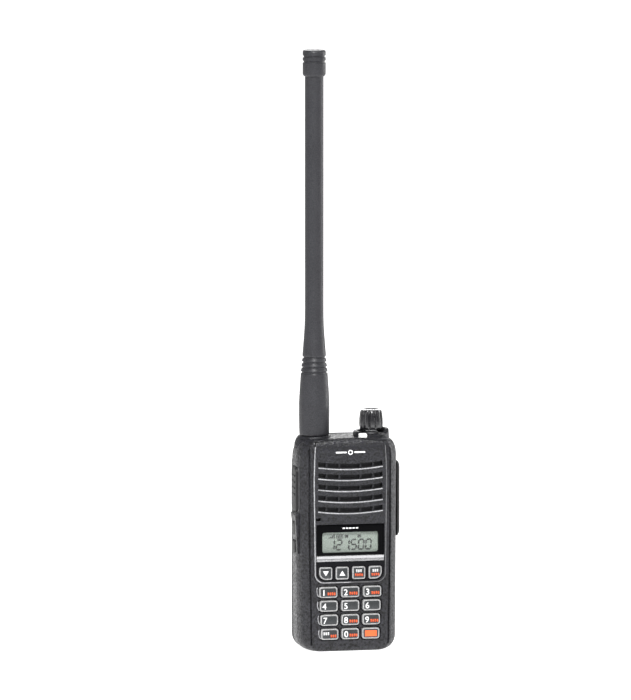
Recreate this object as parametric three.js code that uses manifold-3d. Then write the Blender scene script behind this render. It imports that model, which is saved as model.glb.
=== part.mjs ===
// Handheld airband radio: a belt-worn aviation transceiver with a rubber whip antenna, a full keypad
// and a rear battery pack. Millimetres, +Z up. The front faces -Y and +X is on the right from the front.
// Parts are laid out from the front panel plane (y = 0), the centre line (x = 0) and the base (z = 0).
// The finished group is then moved so that its box stands centred on the origin.
import * as THREE from "three";
import { mergeVertices } from "three/addons/utils/BufferGeometryUtils.js";
import Module from "manifold-3d";

const wasm = await Module();
wasm.setup();

// ---------------------------------------------------------------- driving dimensions
const BODY_HALF_WIDTH = 26.6;
const BODY_HEIGHT = 111.8;
const BASE_HALF_WIDTH = 26.2;
const BASE_CORNER = 7.5;
const SHOULDER_Z = 100.5;
const SHOULDER_HALF_WIDTH = 22;
const PACK_BACK = 32.5;
const WALL = 2.2;
const CAVITY_HALF_WIDTH = 23.9;
const CAVITY_TOP = 109.4;
const CASE_BACK = 20;
const CHASSIS = { front: 20.6, back: 22.6, top: 99.2 };
const TOP_BLOCK_Z = 99.6;
const GAP = 0.3;
const FIT = 0.15;

const BEZEL = { front: -1.1, back: 1.2, bottom: 36.5, halfBottom: 18.6, halfWaist: 18.9, halfTop: 19 };
const INSERT_HALF_WIDTH = 17.9;
const DISPLAY = { bottom: 50.9, top: 66.8, front: -0.9, back: 1 };
const WINDOW = { halfWidth: 14.9, bottom: 52.1, top: 62.8 };
const TRIM = { bottom: 47.3, top: 50.7, front: -1.2 };
const SLOT = { halfWidth: 17, count: 5, pitch: 5.78, lowest: 72.6, height: 2.9, sag: 1.2 };
const RIB_OFFSETS = [-12.4, -5.6, 5.6, 12.4];

const NUMBER_KEY = { height: 5.7, radius: 1.2, front: -1, back: 2.6 };
const NUMBER_ROWS = [
  { z: 31.4, pitch: 11.65, width: 9.6, names: ["number_key_1", "number_key_2", "number_key_3"] },
  { z: 24.2, pitch: 11.4, width: 9.45, names: ["number_key_4", "number_key_5", "number_key_6"] },
  { z: 16.8, pitch: 11.15, width: 9.3, names: ["number_key_7", "number_key_8", "number_key_9"] },
  { z: 9.4, pitch: 10.9, width: 9.15, names: ["key_enter", "number_key_0", "key_function"] },
];
const FUNCTION_KEY = { width: 6.9, height: 6.6, radius: 0.9, z: 41.4, front: -1.5, back: 1.5 };
const FUNCTION_KEYS = [
  { x: -13.15, name: "key_down_arrow" },
  { x: -4.4, name: "key_up_arrow" },
  { x: 4.4, name: "key_menu" },
  { x: 13.15, name: "key_clear" },
];

const TALK_BUTTON = { bottom: 72.9, top: 96.4, front: 6.4, back: 18.4, out: 27.4 };
const TALK_RIDGES = [81.9, 85.1, 88.4, 91.6];
const SIDE_KEYS = [
  { name: "side_key_upper", bottom: 60.9, top: 66.8 },
  { name: "side_key_lower", bottom: 51.5, top: 57.4 },
];
const SIDE_KEY = { front: 10, back: 18.4, out: 27.2 };
const JACK_COVER = { bottom: 58.7, top: 98.3, front: 7.6, back: 17.8, out: 28.4 };
const JACKS = [
  { name: "jack_socket_upper", z: 84, bore: 1.8 },
  { name: "jack_socket_lower", z: 71, bore: 1.3 },
];
const JACK = { y: 11.2, radius: 2.8, inner: 18.6, outer: 25.8 };

const ANTENNA = { x: -16.05, y: 14, bottom: 112.5, boreRadius: 6.2, boreTop: 127.3, end: 309.1 };
const ANTENNA_CAP = { bottom: 299.7, top: 313.3, radius: 6 };
const KNOB = { x: 14.2, y: 14, bottom: 114.6, top: 125, radius: 6.35, flutes: 9, fluteDepth: 0.55 };
const LAMP = { left: 6.1, right: 10.2, front: 4.6, back: 8.2, bottom: 109.9, top: 113.3 };

const SCREW_X = 19.2;
const SCREW_Z = 94.4;
const PACK = { front: 22.9, top: 98.4, wall: 1.5, coverBack: 24 };
const CLIP = { halfWidth: 9.5, pinY: 37.1, pinZ: 88.5, bottom: 34 };
const ROUND = 24;

// ---------------------------------------------------------------- solids from three.js shapes
function solidOf(geometry) {
  const bare = geometry.clone();
  bare.deleteAttribute("normal");
  bare.deleteAttribute("uv");
  const merged = mergeVertices(bare, 1e-4);
  return new wasm.Manifold(new wasm.Mesh({
    numProp: 3,
    vertProperties: merged.attributes.position.array,
    triVerts: new Uint32Array(merged.index.array),
  }));
}

function geometryOf(solid) {
  const mesh = solid.getMesh();
  const geometry = new THREE.BufferGeometry();
  geometry.setAttribute("position", new THREE.BufferAttribute(new Float32Array(mesh.vertProperties), 3));
  geometry.setIndex(new THREE.BufferAttribute(new Uint32Array(mesh.triVerts), 1));
  geometry.computeVertexNormals();
  return geometry;
}

function polygon(points) {
  return new THREE.Shape(points.map(([a, b]) => new THREE.Vector2(a, b)));
}

function roundedRect(left, right, bottom, top, radius) {
  const shape = new THREE.Shape();
  shape.absarc(right - radius, top - radius, radius, 0, Math.PI / 2);
  shape.absarc(left + radius, top - radius, radius, Math.PI / 2, Math.PI);
  shape.absarc(left + radius, bottom + radius, radius, Math.PI, 1.5 * Math.PI);
  shape.absarc(right - radius, bottom + radius, radius, 1.5 * Math.PI, 2 * Math.PI);
  shape.closePath();
  return shape;
}

function extruded(shape, depth, curveSegments = 2) {
  return new THREE.ExtrudeGeometry(shape, { depth, bevelEnabled: false, curveSegments });
}

// An outline in plan (x, y), raised from z0 to z1.
function plan(shape, z0, z1, curveSegments) {
  return solidOf(extruded(shape, z1 - z0, curveSegments).translate(0, 0, z0));
}

// An outline seen from the front (x, z), reaching from y0 back to y1.
function front(shape, y0, y1, curveSegments) {
  return solidOf(extruded(shape, y1 - y0, curveSegments).rotateX(Math.PI / 2).translate(0, y1, 0));
}

// An outline seen from the side (y, z), reaching from x0 to x1.
function side(shape, x0, x1, curveSegments) {
  const turn = new THREE.Matrix4().set(0, 0, 1, x0, 1, 0, 0, 0, 0, 1, 0, 0, 0, 0, 0, 1);
  return solidOf(extruded(shape, x1 - x0, curveSegments).applyMatrix4(turn));
}

function box(x0, x1, y0, y1, z0, z1) {
  const geometry = new THREE.BoxGeometry(x1 - x0, y1 - y0, z1 - z0);
  return solidOf(geometry.translate((x0 + x1) / 2, (y0 + y1) / 2, (z0 + z1) / 2));
}

// A turned solid about Z from [radius, height] points that start and end on the axis.
function turned(points, segments = ROUND) {
  const profile = points.map(([radius, height]) => new THREE.Vector2(radius, height));
  return solidOf(new THREE.LatheGeometry(profile, segments).rotateX(Math.PI / 2));
}

function rod(radius, z0, z1, segments = ROUND) {
  return turned([[0, z0], [radius, z0], [radius, z1], [0, z1]], segments);
}

// A rod lying along Y or X, centred on the two other coordinates.
function rodAlongY(radius, x, z, y0, y1, segments = 16) {
  return solidOf(new THREE.CylinderGeometry(radius, radius, y1 - y0, segments).translate(x, (y0 + y1) / 2, z));
}

function rodAlongX(radius, y, z, x0, x1, segments = 16) {
  const lying = new THREE.CylinderGeometry(radius, radius, x1 - x0, segments).rotateZ(-Math.PI / 2);
  return solidOf(lying.translate((x0 + x1) / 2, y, z));
}

function united(solids) {
  return solids.reduce((whole, solid) => whole.add(solid));
}

function cut(solid, tools) {
  return tools.reduce((rest, tool) => rest.subtract(tool), solid);
}

// ---------------------------------------------------------------- finishes
function finish(color, roughness, metalness = 0) {
  return new THREE.MeshStandardMaterial({ color, roughness, metalness });
}

const CASE_PLASTIC = finish(0x3a3b3d, 0.55);
const BEZEL_PLASTIC = finish(0x343537, 0.45);
const GLOSS_BLACK = finish(0x0c0c0e, 0.12);
const CLEAR = finish(0xdfe6e2, 0.05);
const LCD_GREEN = finish(0x8c9b8e, 0.4);
const SILVER = finish(0xcfd0d2, 0.25, 0.8);
const KEY_RUBBER = finish(0x454648, 0.5);
const SOFT_RUBBER = finish(0x2b2c2e, 0.7);
const ANTENNA_RUBBER = finish(0x35373b, 0.5);
const BOARD_GREEN = finish(0x1f5a3a, 0.5);
const STEEL = finish(0xb8babd, 0.35, 0.9);
const CAST_METAL = finish(0x77797c, 0.5, 0.7);
const NICKEL = finish(0xc6c3bb, 0.25, 0.95);
const LAMP_WHITE = finish(0xf4f4f0, 0.2);
const CELL_WRAP = finish(0x3f6a8f, 0.5);

const radio = new THREE.Group();

function place(name, solid, material, x = 0, y = 0, z = 0) {
  const mesh = new THREE.Mesh(geometryOf(solid), material);
  mesh.name = name;
  mesh.position.set(x, y, z);
  radio.add(mesh);
}

// ---------------------------------------------------------------- outer form
function frontOutline(grow = 0) {
  const base = BASE_HALF_WIDTH + grow;
  const half = BODY_HALF_WIDTH + grow;
  const shoulder = SHOULDER_HALF_WIDTH + grow;
  const crown = BODY_HEIGHT - 0.8 + grow;
  const shape = new THREE.Shape();
  shape.absarc(BASE_CORNER - base, BASE_CORNER - grow, BASE_CORNER, Math.PI, 1.5 * Math.PI);
  shape.absarc(base - BASE_CORNER, BASE_CORNER - grow, BASE_CORNER, 1.5 * Math.PI, 2 * Math.PI);
  shape.lineTo(half, 52);
  shape.lineTo(half, SHOULDER_Z);
  shape.quadraticCurveTo(half, crown - 2.4, shoulder, crown);
  shape.quadraticCurveTo(0, crown + 1.6, -shoulder, crown);
  shape.quadraticCurveTo(-half, crown - 2.4, -half, SHOULDER_Z);
  shape.lineTo(-half, 52);
  shape.closePath();
  return shape;
}

function planOutline() {
  const right = [
    [19.5, 0], [21.8, 0.7], [25.2, 4.6], [BODY_HALF_WIDTH, 9.5], [BODY_HALF_WIDTH, 17], [26.3, 22],
    [25.3, 27], [23.3, 30.6], [18.5, PACK_BACK],
  ];
  const left = right.map(([x, y]) => [-x, y]).reverse();
  return polygon([...right, ...left]);
}

function sideOutline() {
  const back = PACK_BACK;
  return polygon([
    [2.4, 0], [back - 2, 0], [back, 2.4], [back, 88], [back - 1.6, 103], [back - 4.5, 109.3],
    [back - 8, BODY_HEIGHT], [2.6, BODY_HEIGHT], [0.8, BODY_HEIGHT - 0.9], [0, BODY_HEIGHT - 2.6],
    [0, 2.4], [0.8, 0.7],
  ]);
}

function bodyForm() {
  const width = BODY_HALF_WIDTH + 1;
  return plan(planOutline(), 0, BODY_HEIGHT)
    .intersect(front(frontOutline(), -1, PACK_BACK + 1, 4))
    .intersect(side(sideOutline(), -width, width));
}

function cavity() {
  const deep = 26;
  const outline = polygon([
    [20.2, WALL], [CAVITY_HALF_WIDTH, 7.8], [CAVITY_HALF_WIDTH, 18], [23.2, deep],
    [-23.2, deep], [-CAVITY_HALF_WIDTH, 18], [-CAVITY_HALF_WIDTH, 7.8], [-20.2, WALL],
  ]);
  return plan(outline, WALL, CAVITY_TOP).intersect(front(frontOutline(-WALL), 0, PACK_BACK, 3));
}

// ---------------------------------------------------------------- front case
function bezelOutline(grow = 0) {
  const corner = 4.5;
  const bottom = BEZEL.bottom - grow;
  const low = BEZEL.halfBottom + grow;
  const top = BEZEL.halfTop - 0.6 + grow;
  const shape = new THREE.Shape();
  shape.absarc(corner - low, bottom + corner, corner, Math.PI, 1.5 * Math.PI);
  shape.absarc(low - corner, bottom + corner, corner, 1.5 * Math.PI, 2 * Math.PI);
  shape.lineTo(BEZEL.halfWaist + grow, 67);
  shape.lineTo(BEZEL.halfTop + grow + 0.2, 90);
  shape.lineTo(top, 109.4 + grow);
  shape.quadraticCurveTo(0, 111.6 + grow, -top, 109.4 + grow);
  shape.lineTo(-BEZEL.halfTop - grow - 0.2, 90);
  shape.lineTo(-BEZEL.halfWaist - grow, 67);
  shape.closePath();
  return shape;
}

function keyOpenings() {
  const reach = NUMBER_KEY.height / 2 + 0.25;
  return NUMBER_ROWS.flatMap((row) => [-row.pitch, 0, row.pitch].map((x) => {
    const half = row.width / 2 + 0.25;
    return front(roundedRect(x - half, x + half, row.z - reach, row.z + reach, 1.4), -1, WALL + 1, 1);
  }));
}

function grooves() {
  return [-1, 1].map((mirror) => {
    const line = [[21, 107], [21.8, 107], [21.7, 60], [20.8, 4], [20, 4], [20.9, 60]];
    return front(polygon(line.map(([x, z]) => [mirror * x, z])), -1, 1.6);
  });
}

function antennaBoss() {
  const boss = turned([[0, CAVITY_TOP], [9.7, CAVITY_TOP], [9.4, 110.6], [8.3, 112.2], [0, 112.2]]);
  return boss.translate([ANTENNA.x, ANTENNA.y, 0]);
}

function knobCollar() {
  const profile = [[0, 108], [9.4, 108], [9.2, 114.2], [8.6, 115.1], [7.4, 115.1], [7.2, 112.6], [0, 112.6]];
  const ring = turned(profile).translate([KNOB.x, KNOB.y, 0]);
  const slope = polygon([[-6, 112.3], [4.5, 112.3], [10, 113.4], [13.5, 116], [-6, 116]]);
  const scoop = side(slope, KNOB.x - 12, KNOB.x + 12);
  const leftShoulder = box(KNOB.x - 12, KNOB.x - 4, KNOB.y - 12, KNOB.y + 12, 113.7, 116);
  return cut(ring, [scoop, leftShoulder]);
}

function talkGuard() {
  const flank = polygon([[-25, 72.3], [-27, 72.3], [-27.7, 71.2], [-26.5, 51], [-25, 51]]);
  const ledge = polygon([[-25, 72.3], [-27, 72.3], [-27.7, 71.2], [-27.3, 68], [-25, 68]]);
  return front(flank, 6.6, 9.4).add(front(ledge, 6.6, 18.2));
}

function sideOpenings() {
  const { front: near, back: far, bottom, top } = TALK_BUTTON;
  const talk = roundedRect(near - GAP, far + GAP, bottom - GAP, top + GAP, 3);
  const openings = [side(talk, -30, -CAVITY_HALF_WIDTH + 1)];
  for (const key of SIDE_KEYS) {
    const reach = [key.bottom - GAP, key.top + GAP];
    const outline = roundedRect(SIDE_KEY.front - GAP, SIDE_KEY.back + GAP, ...reach, 1.6);
    openings.push(side(outline, -30, -CAVITY_HALF_WIDTH + 1, 1));
  }
  for (const jack of JACKS) {
    openings.push(rodAlongX(JACK.radius + GAP, JACK.y, jack.z, 20, 30));
  }
  openings.push(rodAlongX(1, 12.7, 92, 20, 30, 12));
  return openings;
}

function screwPosts() {
  return [-SCREW_X, SCREW_X].map((x) => rodAlongY(2.4, x, SCREW_Z, 1.6, 19.4, 12));
}

function frontCase() {
  const outer = bodyForm();
  const extent = box(-30, 30, -2, CASE_BACK, -1, 120).add(box(-30, 30, -2, 40, TOP_BLOCK_Z, 120));
  const shell = outer.intersect(extent);
  const bulk = united([shell, antennaBoss(), knobCollar(), talkGuard()]);
  const hollow = cavity().subtract(box(-30, 30, CASE_BACK + 4, 40, 0, 120));
  const posts = united(screwPosts());
  const openings = [
    front(bezelOutline(FIT), -3, BEZEL.back + FIT, 3),
    front(roundedRect(-17.6, 17.6, 70.6, 102.5, 4), -1, WALL + 1),
    box(-17.2, 17.2, -1, WALL + 1, 49.4, 65.6),
    box(-17.2, 17.2, -1, WALL + 1, 37.4, 45.6),
    rod(5.1, 105, 115).translate([ANTENNA.x, ANTENNA.y, 0]),
    rod(6.4, 104, CAVITY_TOP).translate([ANTENNA.x, ANTENNA.y, 0]),
    rod(3.8, 105, 115).translate([KNOB.x, KNOB.y, 0]),
    box(LAMP.left - FIT, LAMP.right + FIT, LAMP.front - FIT, LAMP.back + FIT, 105, 118),
    ...[-SCREW_X, SCREW_X].map((x) => rodAlongY(0.95, x, SCREW_Z, 8, 30, 10)),
    ...keyOpenings(),
    ...grooves(),
    ...sideOpenings(),
  ];
  return cut(bulk.subtract(hollow).add(posts), openings);
}

// ---------------------------------------------------------------- bezel and what it frames
function grilleSlot(index) {
  const low = SLOT.lowest + index * SLOT.pitch;
  const half = SLOT.halfWidth;
  const end = 0.9;
  const rise = SLOT.sag;
  const shape = new THREE.Shape();
  shape.moveTo(-half, low + rise + end);
  shape.quadraticCurveTo(-half, low + rise, -half + end, low + rise - 0.1);
  shape.quadraticCurveTo(0, low - rise, half - end, low + rise - 0.1);
  shape.quadraticCurveTo(half, low + rise, half, low + rise + end);
  shape.lineTo(half, low + rise + SLOT.height - 0.4);
  shape.quadraticCurveTo(0, low - rise + SLOT.height, -half, low + rise + SLOT.height - 0.4);
  shape.closePath();
  return shape;
}

function frontBezel() {
  const plate = front(bezelOutline(), BEZEL.front, BEZEL.back, 3);
  const half = INSERT_HALF_WIDTH + FIT;
  const nest = roundedRect(-half, half, BEZEL.bottom + 0.7, DISPLAY.top + FIT, 1.2);
  const nestCorners = front(bezelOutline(-0.6), -3, 3, 3).intersect(front(nest, -3, 3));
  const slots = [];
  for (let index = 0; index < SLOT.count; index += 1) {
    slots.push(front(grilleSlot(index), -3, 3, 6));
  }
  const ribs = RIB_OFFSETS.map((x) => box(x - 0.5, x + 0.5, 0.2, BEZEL.back, 71, 102));
  const microphoneSlot = box(-18.2, -15.8, -3, 3, 69, 70.6);
  return cut(cut(plate, slots).add(united(ribs)), [nestCorners, microphoneSlot]);
}

function displayFrame() {
  const outline = roundedRect(-INSERT_HALF_WIDTH, INSERT_HALF_WIDTH, DISPLAY.bottom, DISPLAY.top, 1);
  const window = roundedRect(-WINDOW.halfWidth, WINDOW.halfWidth, WINDOW.bottom, WINDOW.top, 1.2);
  return front(outline, DISPLAY.front, DISPLAY.back).subtract(front(window, -3, 3));
}

function displayLens() {
  const half = WINDOW.halfWidth - FIT;
  return front(roundedRect(-half, half, WINDOW.bottom + FIT, WINDOW.top - FIT, 1.1), -0.75, 0.7);
}

function lcdModule() {
  const glass = box(-16.2, 16.2, 1.3, 2.5, 50.6, 65);
  const holder = box(-16.8, 16.8, 2.5, 4.4, 49.8, 65.4);
  return glass.add(holder);
}

function trimBar() {
  const outline = polygon([
    [0.9, TRIM.bottom], [0.9, TRIM.top], [-0.9, TRIM.top], [TRIM.front, TRIM.top - 0.5],
    [-0.85, (TRIM.top + TRIM.bottom) / 2], [TRIM.front, TRIM.bottom + 0.5], [-0.9, TRIM.bottom],
  ]);
  return side(outline, -INSERT_HALF_WIDTH, INSERT_HALF_WIDTH);
}

function functionKeyShape(key, grow) {
  const halfWidth = FUNCTION_KEY.width / 2 + grow;
  const halfHeight = FUNCTION_KEY.height / 2 + grow;
  const small = FUNCTION_KEY.radius + grow / 2;
  const large = 3.4 + grow;
  const leftCorner = key.x < -10 ? large : small;
  const rightCorner = key.x > 10 ? large : small;
  const shape = new THREE.Shape();
  shape.absarc(halfWidth - small, halfHeight - small, small, 0, Math.PI / 2);
  shape.absarc(small - halfWidth, halfHeight - small, small, Math.PI / 2, Math.PI);
  shape.absarc(leftCorner - halfWidth, leftCorner - halfHeight, leftCorner, Math.PI, 1.5 * Math.PI);
  shape.absarc(halfWidth - rightCorner, rightCorner - halfHeight, rightCorner, 1.5 * Math.PI, 2 * Math.PI);
  shape.closePath();
  return shape;
}

function functionKeyFrame() {
  const outline = front(bezelOutline(-0.75), DISPLAY.front, DISPLAY.back, 3);
  const extent = box(-INSERT_HALF_WIDTH, INSERT_HALF_WIDTH, -3, 3, 30, TRIM.bottom - FIT);
  const panel = outline.intersect(extent);
  const holes = FUNCTION_KEYS.map((key) => {
    return front(functionKeyShape(key, 0.2), -3, 3).translate([key.x, 0, FUNCTION_KEY.z]);
  });
  return cut(panel, holes);
}

function functionKey(key) {
  const cap = front(functionKeyShape(key, 0), FUNCTION_KEY.front, FUNCTION_KEY.back);
  const halfWidth = FUNCTION_KEY.width / 2 + 0.6;
  return cap.add(box(-halfWidth, halfWidth, 1.3, 1.9, -3.7, 3.7));
}

function numberKey(width) {
  const half = width / 2;
  const reach = NUMBER_KEY.height / 2;
  const outline = roundedRect(-half, half, -reach, reach, NUMBER_KEY.radius);
  const cap = front(outline, NUMBER_KEY.front, NUMBER_KEY.back);
  return cap.add(box(-half - 0.5, half + 0.5, 2.5, 3.1, -reach - 0.5, reach + 0.5));
}

// ---------------------------------------------------------------- inside the case
function keypadMat() {
  const sheet = front(roundedRect(-17.4, 17.4, 4, 46.6, 3), 3.9, 4.6);
  const pads = NUMBER_ROWS.flatMap((row) => [-row.pitch, 0, row.pitch].map((x) => {
    return box(x - 2, x + 2, 3.72, 4.2, row.z - 1.5, row.z + 1.5);
  }));
  return united([sheet, ...pads]);
}

function keyBoard() {
  return front(roundedRect(-18.4, 18.4, 3.6, 66.5, 2), 4.8, 5.8);
}

function mainBoard() {
  const board = front(roundedRect(-20.4, 20.4, 5, 99, 2), 14.6, 15.8);
  return cut(board, [-SCREW_X, SCREW_X].map((x) => rodAlongY(2.9, x, SCREW_Z, 10, 20, 12)));
}

function rfShield() {
  const wall = 0.5;
  const can = box(-16.5, 16.5, 11, 14.4, 12, 64);
  return can.subtract(box(-16.5 + wall, 16.5 - wall, 11 + wall, 15, 12 + wall, 64 - wall));
}

function speakerMembrane() {
  return front(roundedRect(-17, 17, 71.2, 101.8, 3.6), 1.6, 2);
}

function speaker() {
  return turned([
    [0, -7.2], [7, -7.2], [7.4, -3.4], [15.2, -1.4], [15.2, 0], [13.6, 0], [8, -2], [3, -2.4], [2, -1.6],
    [0, -1.2],
  ]);
}

function microphone() {
  return turned([[0, 0], [2, 0], [2, 1.6], [1.7, 1.9], [0, 1.9]], 16);
}

function sideSwitchBoard() {
  const board = box(-21.2, -20.6, 7.5, 13.8, 51, 90);
  const talkSwitch = box(-21.7, -21.2, 10, 13, 83, 86.5);
  return board.add(talkSwitch);
}

function jackSocket(jack) {
  const barrel = rodAlongX(JACK.radius, 0, 0, JACK.inner, JACK.outer);
  return barrel.subtract(rodAlongX(jack.bore, 0, 0, JACK.inner + 1.5, JACK.outer + 1, 12));
}

function lampLens() {
  const foot = box(LAMP.left, LAMP.right, LAMP.front, LAMP.back, LAMP.bottom, 112.2);
  const outline = polygon([
    [LAMP.front, 112.1], [LAMP.front + 0.3, 113], [LAMP.front + 1.2, LAMP.top], [LAMP.back, LAMP.top],
    [LAMP.back, 112.1],
  ]);
  return foot.add(side(outline, LAMP.left, LAMP.right));
}

// ---------------------------------------------------------------- rear of the radio
function rearChassis() {
  const body = bodyForm().intersect(box(-30, 30, CHASSIS.front, CHASSIS.back, -1, CHASSIS.top));
  const ribs = [20, 40, 60, 80].map((z) => box(-18, 18, 17.4, CHASSIS.front + 0.5, z - 0.6, z + 0.6));
  const holes = [-SCREW_X, SCREW_X].flatMap((x) => [
    rodAlongY(1.25, x, SCREW_Z, 15, 25, 12),
    rodAlongY(2.3, x, SCREW_Z, 21.5, 25, 16),
  ]);
  const terminalOpening = box(-9.3, 9.3, 16, 25, 9.7, 16.3);
  return cut(united([body, ...ribs]), [...holes, terminalOpening]);
}

function caseGasket() {
  const band = bodyForm().intersect(box(-30, 30, CASE_BACK + 0.1, CHASSIS.front - 0.1, 0.6, CHASSIS.top - 0.6));
  const inside = front(frontOutline(-2), 0, 40, 3).intersect(box(-22.4, 22.4, 0, 40, 2.6, CHASSIS.top - 2.4));
  return band.subtract(inside);
}

function chassisScrew() {
  const shank = rodAlongY(0.85, 0, 0, 12, 21.7, 10);
  const head = rodAlongY(2, 0, 0, 21.6, 22.4, 16);
  const cross = [box(-1.2, 1.2, 22, 23, -0.25, 0.25), box(-0.25, 0.25, 22, 23, -1.2, 1.2)];
  return cut(shank.add(head), cross);
}

function terminalBlock() {
  const block = box(-9, 9, 18, 22.4, 10, 16);
  const springs = [-6, -2, 2, 6].map((x) => box(x - 0.8, x + 0.8, 22.2, 22.75, 11, 15));
  return united([block, ...springs]);
}

// ---------------------------------------------------------------- side controls
function talkButton() {
  const { bottom, top, out } = TALK_BUTTON;
  const cap = side(roundedRect(TALK_BUTTON.front, TALK_BUTTON.back, bottom, top, 2.8), -out, -23.4);
  const flange = box(-23.6, -23, 8.1, 19.4, bottom - 0.6, top + 0.6);
  const ridges = TALK_RIDGES.map((z) => {
    const inner = 0.2 - out;
    const crest = -out - 0.4;
    return front(polygon([[inner, z - 0.8], [crest, z - 0.3], [crest, z + 0.3], [inner, z + 0.8]]), 9, 16);
  });
  return united([cap, flange, ...ridges]);
}

function sideKey(key) {
  const cap = side(roundedRect(SIDE_KEY.front, SIDE_KEY.back, key.bottom, key.top, 1.4), -SIDE_KEY.out, -23.4);
  return cap.add(box(-23.6, -23, 9.2, 19.2, key.bottom - 0.6, key.top + 0.6));
}

function jackCover() {
  const { bottom, top, front: near, back: far, out } = JACK_COVER;
  const inner = BODY_HALF_WIDTH + 0.15;
  const face = polygon([
    [inner, bottom], [inner, top], [out - 1.4, top], [out, top - 3.4], [out, bottom + 3.4], [out - 1.4, bottom],
  ]);
  const edge = polygon([
    [inner, near], [out - 0.8, near], [out, near + 1.6], [out, far - 1.6], [out - 0.8, far], [inner, far],
  ]);
  const block = side(roundedRect(near, far, bottom, top, 2.6), inner, out)
    .intersect(front(face, 0, 30))
    .intersect(plan(edge, 0, 120));
  return cut(block, [rodAlongX(0.95, 12.7, 92, 20, 30, 12), rodAlongX(2.2, 12.7, 92, 27.2, 30, 16)]);
}

function jackCoverScrew() {
  const shank = rodAlongX(0.75, 0, 0, 22.6, 27.6, 10);
  const head = rodAlongX(1.9, 0, 0, 27.4, 28.3, 16);
  return shank.add(head).subtract(box(27.9, 29, -1.4, 1.4, -0.3, 0.3));
}

// ---------------------------------------------------------------- volume control
function volumeControl() {
  const pot = box(-5.6, 5.6, -4.6, 4.6, 100.5, 107.2);
  const bushing = rod(3.5, 107, 113.4);
  return pot.add(bushing).subtract(rod(1.7, 104, 115, 16));
}

function volumeShaft() {
  return turned([[0, 104.6], [1.4, 104.6], [1.4, 114], [3, 114], [3, 121], [0, 121]], 20);
}

function volumeKnob() {
  const { bottom, top, radius, flutes, fluteDepth } = KNOB;
  const profile = [
    [0, bottom], [radius - 0.7, bottom], [radius, bottom + 1], [radius - 0.15, top - 2.6],
    [radius - 0.75, top - 0.5], [radius - 1.3, top], [0, top],
  ];
  const grips = [];
  for (let index = 0; index < flutes; index += 1) {
    const turn = (index / flutes) * 360;
    const grip = rod(1.35, bottom - 1, top + 1, 12).translate([radius + 1.35 - fluteDepth, 0, 0]);
    grips.push(grip.rotate([0, 0, turn]));
  }
  const socket = rod(3.12, bottom - 1, 121.3, 20);
  const dish = turned([[0, top - 0.5], [3.6, top - 0.5], [4, top + 1], [0, top + 1]]);
  return cut(turned(profile, 36), [...grips, socket, dish]);
}

// ---------------------------------------------------------------- antenna
function antennaSocket() {
  const barrel = turned([
    [0, 107.4], [6.1, 107.4], [6.1, 109.2], [4.8, 109.2], [4.8, 121], [4.1, 121], [4.1, 112], [1.5, 112],
    [1.5, 118.5], [0.95, 118.5], [0.95, 113], [0, 113],
  ]);
  const lug = rodAlongX(0.85, 0, 118.6, 4.5, 5.7, 10);
  return united([barrel, lug, lug.rotate([0, 0, 180])]);
}

function antennaPlug() {
  return turned([
    [0, 114.2], [0.6, 114.2], [0.6, 121.8], [3.1, 121.8], [3.1, 114.4], [3.75, 114.4], [3.75, 121.8],
    [5.95, 121.8], [5.95, 127], [0, 127],
  ]);
}

function antennaSleeve() {
  const { bottom, boreRadius, boreTop, end } = ANTENNA;
  const bore = [[0, boreTop], [boreRadius, boreTop], [boreRadius, bottom]];
  const boot = [
    [7.4, bottom], [7.8, bottom + 0.6], [7.95, 120], [7.95, 130], [7.64, 135], [7.33, 140], [7.03, 144],
  ];
  const rings = [];
  for (let index = 0; index < 4; index += 1) {
    const groove = 145.1 + 2.6 * index;
    const shrink = 0.29 * index;
    rings.push([6.45 - shrink, groove - 0.35], [6.45 - shrink, groove + 0.35]);
    rings.push([7 - shrink, groove + 0.7], [6.95 - shrink, groove + 1.6]);
  }
  const taper = [[6.1, 154.6], [5.82, 158.6], [5.2, 166.5], [4.9, 171.7], [4.83, 177], [4.83, end]];
  return turned([...bore, ...boot, ...rings, ...taper, [0, end]]);
}

function antennaCap() {
  const { bottom, top, radius } = ANTENNA_CAP;
  const deep = radius - 0.5;
  const rings = [307.3, 310].flatMap((z) => {
    return [[radius, z - 0.5], [deep, z - 0.3], [deep, z + 0.3], [radius, z + 0.5]];
  });
  const bore = [[0, ANTENNA.end + GAP], [4.98, ANTENNA.end + GAP], [4.98, bottom]];
  return turned([
    ...bore, [deep, bottom], [radius, bottom + 0.9], ...rings, [radius, top - 0.6], [deep, top], [0, top],
  ]);
}

// ---------------------------------------------------------------- battery pack
function packForm() {
  return bodyForm().intersect(box(-30, 30, PACK.coverBack + 0.1, 40, -1, PACK.top));
}

function packCase() {
  const inner = PACK_BACK - PACK.wall;
  const outline = polygon([
    [22.6, 23], [22.2, 27.6], [20.8, 29.8], [18, inner],
    [-18, inner], [-20.8, 29.8], [-22.2, 27.6], [-22.6, 23],
  ]);
  const hollow = plan(outline, 2, PACK.top - 2);
  const latchOpening = box(-8.4, 8.4, 28, 40, 3.6, 12.4);
  const chargeRecesses = [-6, 6].map((x) => rodAlongY(2.2, x, 20, PACK_BACK - 0.4, 40, 16));
  return cut(packForm(), [hollow, latchOpening, ...chargeRecesses]);
}

function packCover() {
  return bodyForm().intersect(box(-30, 30, PACK.front, PACK.coverBack, 0.1, PACK.top));
}

function batteryCell() {
  return front(roundedRect(-9.3, 9.3, 18, 92, 1.5), 24.5, 30);
}

function packLatch() {
  const button = front(roundedRect(-8, 8, 4, 9.6, 1.4), 30.4, 33.3);
  const flange = box(-9.6, 9.6, 29.6, 30.6, 2.6, 12.6);
  const ridges = [5.4, 6.8, 8.2].map((z) => box(-6, 6, 33.2, 33.7, z - 0.3, z + 0.3));
  return united([button, flange, ...ridges]);
}

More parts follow.
